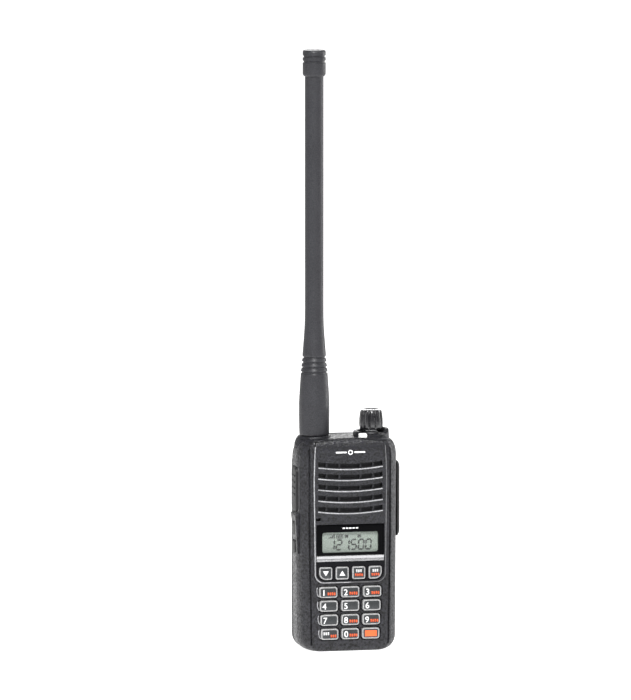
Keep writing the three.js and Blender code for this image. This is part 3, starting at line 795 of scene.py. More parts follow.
def round_over(front: float, back: float, radius: float, steps: int = 4) -> list[Point2]:
    """(inset, depth) pairs of a block whose front edge is rounded over.

    Args:
        front: the front face's depth.
        back: the back face's depth.
        radius: the edge's radius.
        steps: straight steps in the rounding.

    Returns:
        The pairs, from the back to the front.
    """
    inward = 1.0 if back > front else -1.0
    pairs = [(0.0, back)]
    for step in range(steps + 1):
        turn = math.radians(90 * step / steps)
        pairs.append((radius * (1 - math.cos(turn)), front + inward * radius * (1 - math.sin(turn))))
    return pairs


def swept(path: Sequence[Point3], section: Sequence[Point2], up: Vector) -> bmesh.types.BMesh:
    """A section carried along a path.

    Args:
        path: the path's points.
        section: (across, up) points of the section.
        up: the direction that the section's second number follows.

    Returns:
        The mesh.
    """
    points = [Vector(point) for point in path]
    rings = []
    for index, point in enumerate(points):
        ahead = points[min(index + 1, len(points) - 1)] - points[max(index - 1, 0)]
        across = ahead.normalized().cross(up).normalized()
        rings.append([tuple(point + across * a + up * b) for a, b in section])
    return ring_mesh(rings)


def joined(meshes: Iterable[bmesh.types.BMesh]) -> bmesh.types.BMesh:
    """Several meshes as one.

    Args:
        meshes: the meshes, which are used up.

    Returns:
        One mesh.
    """
    whole = bmesh.new()
    for mesh in meshes:
        holder = bpy.data.meshes.new("part")
        mesh.to_mesh(holder)
        mesh.free()
        whole.from_mesh(holder)
        bpy.data.meshes.remove(holder)
    return whole


class Boolean(Enum):
    """What a cutting mesh does."""

    CUT = "DIFFERENCE"
    KEEP = "INTERSECT"
    JOIN = "UNION"


def carved(body: bmesh.types.BMesh, steps: Sequence[tuple[Boolean, bmesh.types.BMesh]]) -> bmesh.types.BMesh:
    """Cuts, keeps or joins with each mesh in turn.

    Args:
        body: the mesh to start from.
        steps: what to do, and the mesh to do it with.

    Returns:
        The carved mesh.
    """
    work = bpy.data.objects.new("carving", bpy.data.meshes.new("carving"))
    bpy.context.scene.collection.objects.link(work)
    body.to_mesh(work.data)
    body.free()
    for action, cutter in steps:
        tool = bpy.data.objects.new("cutter", bpy.data.meshes.new("cutter"))
        bpy.context.scene.collection.objects.link(tool)
        cutter.to_mesh(tool.data)
        cutter.free()
        modifier = work.modifiers.new("carve", "BOOLEAN")
        modifier.operation = action.value
        modifier.object = tool
        modifier.solver = "EXACT"
        modifier.use_self = True
        bpy.context.view_layer.update()
        carving = bpy.data.meshes.new_from_object(work.evaluated_get(bpy.context.evaluated_depsgraph_get()))
        work.modifiers.clear()
        work.data = carving
        bpy.data.objects.remove(tool)
    result = bmesh.new()
    result.from_mesh(work.data)
    bpy.data.objects.remove(work)
    bmesh.ops.remove_doubles(result, verts=result.verts, dist=0.002)
    bmesh.ops.dissolve_limit(result, angle_limit=math.radians(1.0), verts=result.verts, edges=result.edges)
    return result


@dataclass
class Edge:
    """How a piece's edges are softened.

    Args:
        width_mm: the bevel's width; 0 leaves the edges alone.
        segments: steps across it.
        angle: edges that turn more than this many degrees are softened.
    """

    width_mm: float = 0.0
    segments: int = 2
    angle: float = 35.0


def soften(piece: bpy.types.Object, edge: Edge) -> None:
    """Bevels a piece's sharp edges.

    Args:
        piece: the object.
        edge: its edges.
    """
    if not edge.width_mm:
        return
    bevel = piece.modifiers.new("soft_edges", "BEVEL")
    bevel.width = edge.width_mm * MM
    bevel.segments = edge.segments
    bevel.limit_method = "ANGLE"
    bevel.angle_limit = math.radians(edge.angle)
    bevel.harden_normals = True


def dress(piece: bpy.types.Object, look: Look, edge: Edge) -> None:
    """Gives a piece its finish, softened edges and smooth shading.

    Args:
        piece: the object.
        look: its finish.
        edge: its edges.
    """
    piece.data.materials.clear()
    piece.data.materials.append(look.value.material())
    soften(piece, edge)
    piece.data.shade_smooth()
    piece.data.set_sharp_from_angle(angle=math.radians(edge.angle))


def make(name: str, mesh: bmesh.types.BMesh, body: str, look: Look,
         stands_for: Sequence[str] = (), edge: Edge | None = None) -> bpy.types.Object:
    """Turns a layout mesh into a piece of the radio.

    Args:
        name: the piece's name.
        mesh: its mesh, in layout millimetres.
        body: the body it rides on.
        look: its finish.
        stands_for: the nodes it replaces.
        edge: how its edges are softened.

    Returns:
        The object.
    """
    data = bpy.data.meshes.new(name)
    bmesh.ops.recalc_face_normals(mesh, faces=mesh.faces)
    mesh.to_mesh(data)
    mesh.free()
    data.transform(DATUM.matrix())
    piece = bpy.data.objects.new(name, data)
    bpy.context.scene.collection.objects.link(piece)
    dress(piece, look, edge or Edge())
    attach(piece, body)
    if stands_for:
        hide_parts(*stands_for)
    LOG.info("%s rides on %s", name, body)
    return piece


def dress_node(node: str, look: Look, edge: Edge | None = None) -> None:
    """Gives a node that stays in view its finish.

    Args:
        node: the node's name.
        look: its finish.
        edge: how its edges are softened.
    """
    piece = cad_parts[node]
    material = look.value.material()
    if not piece.material_slots:
        piece.data.materials.append(material)
    for holder in piece.material_slots:
        holder.link = "OBJECT"
        holder.material = material
    soften(piece, edge or Edge())
    LOG.info("%s dressed as %s", node, look.name.lower())


# ------------------------------------------------------------------ the case
@dataclass
class BodyForm:
    """The outer form that the case, the chassis and the pack share.

    Args:
        half_width: half the width at the waist.
        base_half: half the width at the base.
        base_corner: the radius of the base's corners from the front.
        shoulder_z: where the shoulders begin.
        shoulder_half: half the width where the shoulders end.
        crown_z: the height at the shoulders' ends.
        crown_rise: how much higher the middle of the crown is.
        back: the depth at the back of the pack.
        waist_z: the height of the waist.
        rise_from: the height where the crown's middle starts to rise.
        lip: the radius that the front face ends in at the base and the crown.
        lean_z: where the back starts to lean forward.
        lean: how far forward it leans by the crown.
    """

    half_width: float = 26.6
    base_half: float = 26.2
    base_corner: float = 7.5
    shoulder_z: float = 100.5
    shoulder_half: float = 22.0
    crown_z: float = 111.0
    crown_rise: float = 0.78
    back: float = 32.5
    waist_z: float = 52.0
    rise_from: float = 98.0
    lip: float = 2.4
    lean_z: float = 88.0
    lean: float = 8.0

    def plan(self) -> list[Point2]:
        """The outline from above at the waist, with its long runs split.

        Returns:
            The outline's points.
        """
        right = [(19.5, 0.0), (21.9, 0.6), (25.3, 4.5), (26.6, 9.5), (26.6, 17.0), (26.3, 22.0), (25.3, 27.0),
                 (23.3, 30.7), (18.3, self.back)]
        left = [(-x, y) for x, y in reversed(right)]
        return filleted([*right, *left], 1.5, 3, 3.4)

    def half_at(self, t: float) -> Point2:
        """Half width and height along the shoulder, for t from 0 to 1.

        Args:
            t: how far along the shoulder.

        Returns:
            The half width and the height.
        """
        bend = self.crown_z - self.lip
        half = (1 - t) ** 2 * self.half_width + 2 * t * (1 - t) * self.half_width + t * t * self.shoulder_half
        height = (1 - t) ** 2 * self.shoulder_z + 2 * t * (1 - t) * bend + t * t * self.crown_z
        return half, height

    def levels(self) -> list[Point2]:
        """(half width, height) pairs from the base to the crown.

        Returns:
            The pairs in order.
        """
        corner = self.base_corner
        low = [(self.base_half - corner + corner * math.sin(turn), corner - corner * math.cos(turn))
               for turn in (math.radians(90 * step / 8) for step in range(9))]
        waist = [(self.half_width - 0.2, 28.0), (self.half_width, self.waist_z), (self.half_width, 76.0),
                 (self.half_width, 90.0)]
        return low + waist + [self.half_at(step / 10) for step in range(11)]

    def front_at(self, z: float) -> float:
        """How far back the front face lies at a height, rounded at the base and the crown.

        Args:
            z: the height.

        Returns:
            The depth of the front face.
        """
        lip = self.lip
        if z < lip:
            return lip - math.sqrt(max(0.0, lip**2 - (lip - z) ** 2))
        top = self.crown_z - lip
        if z > top:
            return lip - math.sqrt(max(0.0, lip**2 - (z - top) ** 2))
        return 0.0

    def back_at(self, z: float) -> float:
        """How deep the form is at a height.

        Args:
            z: the height.

        Returns:
            The depth of the back face.
        """
        if z < self.lip:
            return self.back - self.lip + math.sqrt(max(0.0, self.lip**2 - (self.lip - z) ** 2))
        if z < self.lean_z:
            return self.back
        return self.back - self.lean * ((z - self.lean_z) / (self.crown_z - self.lean_z)) ** 2.6

    def mesh(self, inset: float = 0.0) -> bmesh.types.BMesh:
        """The whole form, drawn in by a wall's thickness where inset isn't 0.

        Args:
            inset: the wall's thickness.

        Returns:
            The mesh.
        """
        outline = self.plan()
        rings: list[Ring] = []
        for half, height in self.levels():
            front, back = self.front_at(height) + inset, self.back_at(height) - inset
            wide = (half - inset) / self.half_width
            z = inset + height * (self.crown_z - 2 * inset) / self.crown_z
            ring = []
            for x, y in outline:
                px = x * wide
                rise = self.crown_rise * max(0.0, 1 - (px / self.shoulder_half) ** 2)
                lift = rise * max(0.0, (z - self.rise_from) / (self.crown_z - self.rise_from)) ** 2
                ring.append((px, front + y / self.back * (back - front), z + lift))
            rings.append(ring)
        return ring_mesh(rings)

    def core(self, inset: float, top: float) -> bmesh.types.BMesh:
        """The form drawn in by a wall's thickness and cut off at a height."""
        return carved(self.mesh(inset), [(Boolean.KEEP, block((-40, -5, -5), (40, 60, top)))])


@dataclass
class FrontCase:
    """The moulded front case, with its side grooves, key wells, antenna boss and knob collar."""

    form: BodyForm
    wall: float = 2.2
    back: float = 20.0
    top_block_z: float = 99.6
    gap: float = 0.3
    groove_top: float = 107.0
    antenna: Point2 = (-16.05, 14.0)
    knob: Point2 = (14.2, 14.0)

    def grooves(self) -> list[bmesh.types.BMesh]:
        """The long dark grooves beside the bezel.

        Returns:
            The cutters, left and right.
        """
        cuts = []
        for side in (-1, 1):
            points = [(20.95, self.groove_top), (21.9, self.groove_top - 1), (21.85, 60), (20.85, 3.6),
                      (19.95, 3.6), (20.9, 60)]
            cuts.append(slab([(side * x, z) for x, z in points], Plane.FRONT, -1.0, 2.1))
        return cuts

    def boss(self) -> bmesh.types.BMesh:
        """The flared boss that the antenna stands on.

        Returns:
            The mesh.
        """
        profile = [(0.01, 106.0), (10.6, 106.0), (10.3, 108.6), (9.5, 110.6), (8.5, 111.9), (8.1, 112.2),
                   (0.01, 112.2)]
        return turned(profile, self.antenna, 64)

    def collar(self) -> bmesh.types.BMesh:
        """The raised collar behind and beside the knob, scooped away at the front.

        Returns:
            The mesh.
        """
        profile = [(0.01, 108.0), (9.6, 108.0), (9.4, 112.4), (9.15, 114.5), (8.8, 115.0), (7.6, 115.0),
                   (7.3, 114.4), (7.2, 112.6), (0.01, 112.6)]
        ring = turned(profile, self.knob, 64)
        x = self.knob[0]
        slope = filleted([(-6, 112.25), (4.2, 112.25), (9.5, 113.2), (13.5, 117), (-6, 117)], 2.5, 4)
        scoop = slab(slope, Plane.SIDE, x - 12, x + 12)
        shoulder = block((x - 12, 2, 113.7), (x - 4.4, 26, 118))
        return carved(ring, [(Boolean.CUT, scoop), (Boolean.CUT, shoulder)])

    def guard(self) -> bmesh.types.BMesh:
        """The raised ledge under the talk button, which runs out in front of the side keys.

        Returns:
            The mesh.
        """
        flank = [(-24.9, 72.3), (-27.0, 72.3), (-27.65, 71.2), (-27.3, 66.0), (-26.5, 51.0), (-24.9, 51.0)]
        ledge = [(-24.9, 72.3), (-27.0, 72.3), (-27.65, 71.2), (-27.3, 68.0), (-24.9, 68.0)]
        steps = [(Boolean.JOIN, slab(ledge, Plane.FRONT, 6.7, 18.2))]
        return carved(slab(flank, Plane.FRONT, 6.6, 9.4), steps)

    def key_wells(self) -> list[bmesh.types.BMesh]:
        """The through holes of the number keys, then the shallow dishes round them.

        Returns:
            The two cutters.
        """
        holes, dishes = [], []
        for node in Keypad.digits():
            key = Footprint.of(node, Plane.FRONT, Keypad.cap_trim)

            def dish(inset: float, key: Footprint = key) -> list[Point2]:
                """The dish's outline, which closes in more from the sides than from above and below."""
                half = (key.half[0] + 0.95 - inset, key.half[1] + 0.6 - inset * 0.6)
                return rounded_rect(half, 1.8, 5, key.centre)

            holes.append(slab(key.outline(1.4)(-0.25), Plane.FRONT, -1, 4))
            dishes.append(moulding(dish, Plane.FRONT, [(-0.6, -1.0), (0.0, 0.0), (0.5, 0.75)]))
        return [joined(holes), joined(dishes)]

    def well_lips(self) -> bmesh.types.BMesh:
        """The crescent lips that stand up beside the left-hand keys, coloured light as a painted highlight on
        the wells' left walls.

        Returns:
            The mesh.
        """
        lips = []
        turns = [math.radians(-35 + 14 * step) for step in range(9)]
        for node in Keypad.first_column():
            key = Footprint.of(node, Plane.FRONT, Keypad.cap_trim)
            x, z = key.centre[0] - key.half[0] - 1.15, key.centre[1] + 0.7
            path = [(x + 1.5 * (1 - math.cos(turn)), -0.02, z - 3.1 * math.sin(turn)) for turn in turns]
            lips.append(swept(path, oval(0.26, 0.3, 8), Vector((0, 1, 0))))
        return joined(lips)

    def side_openings(self) -> list[bmesh.types.BMesh]:
        """Openings for the talk button and side keys, and the jacks behind their cover.

        Returns:
            One cutter.
        """
        cuts = []
        openings = (("talk_button", 6.1, 3.0), ("side_key_upper", 9.7, 1.6), ("side_key_lower", 9.7, 1.6))
        for node, front, radius in openings:
            button = Footprint.of(node, Plane.SIDE, (0.0, 0.6 - self.gap))
            back = SideControls.back + self.gap
            opening = Footprint(((front + back) / 2, button.centre[1]), ((back - front) / 2, button.half[1]))
            cuts.append(slab(opening.outline(radius, 0.0, 6)(0.0), Plane.SIDE, -32, -22.9))
        for node in ("jack_socket_upper", "jack_socket_lower"):
            cuts.append(slab(circle(Footprint.of(node, Plane.SIDE).centre, 3.1), Plane.SIDE, 20, 32))
        return [joined(cuts)]

    def bezel_seat(self) -> list[bmesh.types.BMesh]:
        """The pocket that the bezel sits in, and the openings behind it.

        Returns:
            The cutters.
        """
        seat = slab(Bezel().outline(-0.15), Plane.FRONT, -3, 1.35)
        grille = slab(rounded_rect((17.6, 15.9), 4, 4, (0, 86.5)), Plane.FRONT, -1, 4)
        display = block((-17.2, -1, 49.4), (17.2, 4, 65.6))
        keys = block((-17.2, -1, 37.4), (17.2, 4, 45.6))
        return [seat, joined([grille, display, keys])]

    def seal(self) -> None:
        """The rubber seal squeezed between the front case and the chassis."""
        band = block((-40, 20.02, 0.2), (40, 20.58, 98.7))
        steps = [(Boolean.KEEP, band), (Boolean.CUT, self.form.core(2.4, 96.4))]
        seal = carved(self.form.mesh(0.12), steps)
        make("case_seal", seal, "radio", Look.GASKET, ["case_gasket"])

    def build(self) -> None:
        """Makes the case from the shared form."""
        shell = self.form.mesh()
        hollow = carved(self.form.mesh(self.wall), [(Boolean.CUT, block((-40, 24.5, -9), (40, 60, 130)))])
        low_back = block((-40, self.back, -5), (40, 60, self.top_block_z))
        lamp_low, lamp_high = DATUM.layout_box("transmit_lamp_lens")
        margin = Vector((0.15, 0.15, 0.0))
        lamp = block(lamp_low - margin - Vector((0, 0, 3)), lamp_high + margin + Vector((0, 0, 4)))
        barrel = turned([(0.01, 104), (5.1, 104), (5.1, 118), (0.01, 118)], self.antenna, 40)
        stem = turned([(0.01, 104), (3.8, 104), (3.8, 118), (0.01, 118)], self.knob, 32)
        steps = [
            (Boolean.CUT, low_back),
            (Boolean.JOIN, self.boss()),
            (Boolean.JOIN, self.collar()),
            (Boolean.JOIN, self.guard()),
            (Boolean.CUT, hollow),
            *[(Boolean.CUT, cut) for cut in self.bezel_seat()],
            (Boolean.CUT, joined(self.grooves())),
            *[(Boolean.CUT, cut) for cut in self.key_wells()],
            *[(Boolean.CUT, cut) for cut in self.side_openings()],
            (Boolean.CUT, lamp),
            (Boolean.CUT, barrel),
            (Boolean.CUT, stem),
        ]
        make("case_shell", carved(shell, steps), "radio", Look.CASE, ["front_case"],
             Edge(0.22, 2, 32))
        make("key_well_lips", self.well_lips(), "radio", Look.PAINTED_HIGHLIGHT)
        dress_node("rear_chassis", Look.CHASSIS, Edge(0.25, 2, 40))
        self.seal()
        for node in ("chassis_screw_left", "chassis_screw_right"):
            dress_node(node, Look.STEEL, Edge(0.12, 2, 40))


# ------------------------------------------------------------------ bezel and grille
@dataclass
class Bezel:
    """The raised plate with the speaker grille, and the rim round it, whose bright and dim halves are painted
    highlight and shade.
    """

    front: float = -1.1
    back: float = 1.2
    bottom: float = 36.5
    corner: float = 4.6
    half_low: float = 18.6
    half_waist: float = 18.9
    half_wide: float = 19.2
    half_top: float = 18.4
    top: float = 109.9
    crown: float = 1.3
    slot_half: float = 17.0
    slot_low: float = 72.6
    slot_height: float = 2.9
    slot_sag: float = 1.2
    slot_pitch: float = 5.78
    slots: int = 5
    rib_offsets: tuple[float, ...] = (-12.4, -5.6, 5.6, 12.4)
    bow_start: float = 105.5
    bow_depth: float = 1.4

    def bow(self, z: float) -> float:
        """How far the face leans back at a height near the top."""
        return self.bow_depth * (max(0.0, z - self.bow_start) / (self.top + self.crown - self.bow_start)) ** 2

    def bowed(self, mesh: bmesh.types.BMesh) -> bmesh.types.BMesh:
        """The plate with its face leaned back towards the top.

        Args:
            mesh: the flat plate.

        Returns:
            The same mesh, bowed.
        """
        height = self.bow_start
        while height < self.top + self.crown:
            geometry = [*mesh.verts, *mesh.edges, *mesh.faces]
            bmesh.ops.bisect_plane(mesh, geom=geometry, dist=0.0001, plane_co=(0, 0, height),
                                   plane_no=(0, 0, 1))
            height += 0.7
        for vert in mesh.verts:
            share = min(1.0, max(0.0, (self.back - vert.co.y) / (self.back - self.front)))
            vert.co.y += self.bow(vert.co.z) * share
        return mesh

    def outline(self, inset: float = 0.0) -> list[Point2]:
        """The plate's outline from the front, anticlockwise from the lower left corner.

        Args:
            inset: how far it is drawn in.

        Returns:
            The outline's points.
        """
        low = self.half_low - inset
        bottom = self.bottom + inset
        corner = self.corner
        points = arc((corner - low, bottom + corner), corner, 180, 270, 8)
        points += arc((low - corner, bottom + corner), corner, 270, 360, 8)
        points += [(self.half_waist - inset, 67.0), (self.half_wide - inset, 90.0)]
        crown = []
        for step in range(17):
            x = (self.half_top - inset) * (1 - step / 8)
            crown.append((x, self.top - inset + self.crown * (1 - (x / self.half_top) ** 2)))
        points += crown
        return [*points, (inset - self.half_wide, 90.0), (inset - self.half_waist, 67.0)]

    def lip_height(self, index: int, x: float) -> float:
        """The height of a slot's lower edge at x; the edge sags in the middle."""
        low = self.slot_low + index * self.slot_pitch
        return low + self.slot_sag * (2 * (x / self.slot_half) ** 2 - 1) * 0.5 + self.slot_sag * 0.5

    def slot(self, index: int) -> bmesh.types.BMesh:
        """One curved slot of the grille.

        Args:
            index: which slot, from the lowest.

        Returns:
            The cutter.
        """
        steps = 14
        xs = [self.slot_half * (2 * step / steps - 1) for step in range(steps + 1)]
        lower = [(x, self.lip_height(index, x)) for x in xs]
        upper = [(x, self.lip_height(index, x) + self.slot_height) for x in reversed(xs)]
        return slab([*lower, *upper], Plane.FRONT, -3, 3)

    def lip(self, index: int) -> bmesh.types.BMesh:
        """The lip along a slot's lower edge, coloured light as a painted highlight.

        Args:
            index: which slot, from the lowest.

        Returns:
            The mesh.
        """
        steps = 24
        reach = self.slot_half + 0.1
        xs = [reach * (2 * step / steps - 1) for step in range(steps + 1)]
        path = [(x, self.front + 0.05, self.lip_height(index, x) - 0.1) for x in xs]
        return swept(path, oval(0.34, 0.34, 10), Vector((0, 0, 1)))

    def rim(self, side: float) -> bmesh.types.BMesh:
        """The thin edge from one shoulder down and round to the middle of the bottom.

        Args:
            side: -1 for the left and 1 for the right.

        Returns:
            The edge.
        """
        flank = [(self.half_top + 0.1, 107.8), (self.half_wide - 0.25, 100.0), (self.half_wide, 90.0),
                 (self.half_waist, 67.0), (self.half_low, self.bottom + self.corner)]
        corner = arc((self.half_low - self.corner, self.bottom + self.corner), self.corner, 0, -90, 12)[1:]
        points = [*flank, *corner, (0.0, self.bottom)]
        path = [(side * x, self.front + 0.26 + self.bow(z), z) for x, z in points]
        return swept(path, oval(0.32, 0.42, 10), Vector((0, 1, 0)))

    def nest(self) -> bmesh.types.BMesh:
        """The space that the display, the bar and the function keys fill."""
        inside = slab(self.outline(0.6), Plane.FRONT, -3, 3)
        return carved(inside, [(Boolean.KEEP, block((-18.05, -4, 30), (18.05, 4, 66.95)))])

    def build(self) -> None:
        """Makes the plate, its slots, ribs, lips and rim."""
        plate = moulding(self.outline, Plane.FRONT, round_over(self.front, self.back, 0.45, 4))
        ribs = joined([block((x - 0.5, 0.25, 71.5), (x + 0.5, self.back, 101.5)) for x in self.rib_offsets])
        notch = block((-18.3, -3, 69.0), (-15.8, 3, 70.6))
        steps = [
            (Boolean.CUT, joined([self.slot(index) for index in range(self.slots)])),
            (Boolean.JOIN, ribs),
            (Boolean.CUT, joined([self.nest(), notch])),
        ]
        make("grille_plate", self.bowed(carved(plate, steps)), "radio", Look.BEZEL,
             ["front_bezel"], Edge(0.14, 2, 35))
        for index in range(self.slots):
            make(f"grille_lip_{index + 1}", self.lip(index), "radio", Look.PAINTED_HIGHLIGHT)
        # Painted light and shade: the left rim takes the bright painted highlight and the right rim the dim
        # one.
        make("bezel_rim_left", self.rim(-1), "radio", Look.PAINTED_HIGHLIGHT)
        make("bezel_rim_right", self.rim(1), "radio", Look.PAINTED_DIM_HIGHLIGHT)
        self.badge()
        dress_node("speaker_membrane", Look.GASKET)

    def badge(self) -> None:
        """A plain white mark above the grille: a ring between two bars."""
        z = 104.6
        face = self.front + self.bow(z)
        bars = [rounded_rect((2.9, 0.42), 0.4, 3, (side * 4.9, z)) for side in (-1, 1)]
        outlines = [circle((0, z), 1.3), *bars]
        disc, *marks = [slab(outline, Plane.FRONT, face - 0.08, face + 0.12) for outline in outlines]
        ring = carved(disc, [(Boolean.CUT, slab(circle((0, z), 0.75), Plane.FRONT, -4, 4))])
        make("plain_badge", joined([*marks, ring]), "radio", Look.WHITE_INK)


# ------------------------------------------------------------------ display
@dataclass
class Display:
    """The black display panel, its window, and the figures on the crystal."""

    figures: str = "121.500"
    digit_size: Point2 = (2.7, 5.1)
    digit_pitch: float = 3.9
    stroke: float = 0.92
    slant: float = 0.08
    first_x: float = -11.0
    base_z: float = 53.4
    icon_z: float = 60.3
    face_y: float = 1.3
    ink_low: float = 0.01
    ink_high: float = 0.06
    window: tuple[float, float, float] = (14.9, 52.1, 62.8)
    lit: ClassVar[dict[str, str]] = {
        "0": "abcdef", "1": "bc", "2": "abged", "3": "abgcd", "4": "fgbc",
        "5": "afgcd", "6": "afgedc", "7": "abc", "8": "abcdefg", "9": "abcdfg",
    }

    def bar(self, start: Point2, end: Point2, corner: Point2) -> bmesh.types.BMesh:
        """One pointed segment between two points of a figure.

        Args:
            start: one end, within the figure's cell.
            end: the other end.
            corner: the cell's lower left corner.

        Returns:
            The segment.
        """
        a, b = Vector(start), Vector(end)
        along = (b - a).normalized()
        across = Vector((-along.y, along.x)) * self.stroke / 2
        a, b = a + along * 0.1, b - along * 0.1
        tip = along * self.stroke / 2
        points = [a, a + tip + across, b - tip + across, b, b - tip - across, a + tip - across]
        outline = [(corner[0] + p.x + self.slant * p.y, corner[1] + p.y) for p in points]
        return self.printed(outline)

    def digit(self, figure: str, corner: Point2) -> list[bmesh.types.BMesh]:
        """The lit segments of one figure.

        Args:
            figure: a figure from 0 to 9.
            corner: its cell's lower left corner.

        Returns:
            The segments.
        """
        w, h = self.digit_size
        m = h / 2
        ends = {"a": ((0, h), (w, h)), "b": ((w, m), (w, h)), "c": ((w, 0), (w, m)), "d": ((0, 0), (w, 0)),
                "e": ((0, 0), (0, m)), "f": ((0, m), (0, h)), "g": ((0, m), (w, m))}
        return [self.bar(*ends[name], corner) for name in self.lit[figure]]

    def mark(self, half: Point2, centre: Point2, radius: float = 0.1) -> bmesh.types.BMesh:
        """A small solid mark on the crystal."""
        return self.printed(rounded_rect(half, radius, 2, centre))

    def printed(self, outline: Sequence[Point2]) -> bmesh.types.BMesh:
        """An outline printed on the crystal."""
        return slab(outline, Plane.FRONT, self.face_y - self.ink_high, self.face_y - self.ink_low)

    def build(self) -> None:
        """Makes the panel, the crystal's figures and icons, and the window."""
        dress_node("lcd_module", Look.LCD)
        low, high = DATUM.layout_box("display_frame")
        outline = Footprint.of("display_frame", Plane.FRONT).outline(1.0, 0.0, 4)
        panel = moulding(outline, Plane.FRONT, round_over(low.y, high.y, 0.2, 3))
        wide, bottom, top = self.window
        opening = rounded_rect((wide, (top - bottom) / 2), 1.2, 5, (0.0, (top + bottom) / 2))
        panel = carved(panel, [(Boolean.CUT, slab(opening, Plane.FRONT, -3, 3))])
        make("display_panel", panel, "radio", Look.GLOSS, ["display_frame"], Edge(0.08, 2, 40))
        dress_node("display_lens", Look.LENS, Edge(0.1, 2, 40))
        self.write()
        self.icons()
        dashes = [slab(rounded_rect((0.62, 0.34), 0.12, 2, (step * 1.75, 64.9)), Plane.FRONT, -0.95, -0.85)
                  for step in (-2, -1, 0, 1, 2)]
        make("panel_marks", joined(dashes), "radio", Look.WHITE_INK)

    def write(self) -> None:
        """Lays out the figures and their point on the crystal."""
        parts: list[bmesh.types.BMesh] = []
        x = self.first_x
        for figure in self.figures:
            if figure == ".":
                parts.append(self.mark((0.36, 0.36), (x - 0.6, self.base_z + 0.2)))
            else:
                parts += self.digit(figure, (x, self.base_z))
                x += self.digit_pitch
        make("display_figures", joined(parts), "radio", Look.SEGMENT_INK)

    def icons(self) -> None:
        """A battery sign, signal bars and two small blocks above the figures."""
        z = self.icon_z
        bars = [(0.3 + 0.26 * step, -10.9 + 0.9 * step) for step in range(4)]
        parts = [self.mark((0.34, half), (x, z - 0.95 + half)) for half, x in bars]
        parts += [self.mark((1.5, 0.2), (-5.2, z + side * 0.85)) for side in (-1, 1)]
        parts += [self.mark((0.2, 1.0), (-5.2 + side * 1.6, z)) for side in (-1, 1)]
        parts += [self.mark((0.3, 0.55), (-6.0 + 0.8 * step, z)) for step in range(3)]
        parts += [self.mark((0.95, 0.75), (x, z), 0.25) for x in (-1.6, 5.2)]
        make("display_icons", joined(parts), "radio", Look.ICON_INK)


@dataclass
class TrimBar:
    """The silver bar under the display, with a hollow face."""

    half: float = 17.9
    bottom: float = 47.3
    top: float = 50.7
    front: float = -1.2
    dip: float = 0.5

    def build(self) -> None:
        """Makes the bar by carrying its hollow section along its length."""
        steps = 10
        face = []
        for step in range(steps + 1):
            t = step / steps
            z = self.bottom + 0.35 + (self.top - self.bottom - 0.7) * t
            face.append((self.front + self.dip * math.sin(math.pi * t), z))
        section = [(0.9, self.bottom), (-0.7, self.bottom), *face, (-0.7, self.top), (0.9, self.top)]
        bar = slab(section, Plane.SIDE, -self.half, self.half)
        make("trim_bar_plated", bar, "radio", Look.TRIM, ["trim_bar"], Edge(0.08, 2, 40))


# ------------------------------------------------------------------ keys
class Print(Enum):
    """What is printed on a key."""

    DIGIT = "digit"
    DIGIT_NOTE = "digit and note"
    DOWN = "down arrow"
    UP = "up arrow"
    TWO_LINES = "two lines"
    NOTE = "mark and note"
    PANEL = "orange panel"


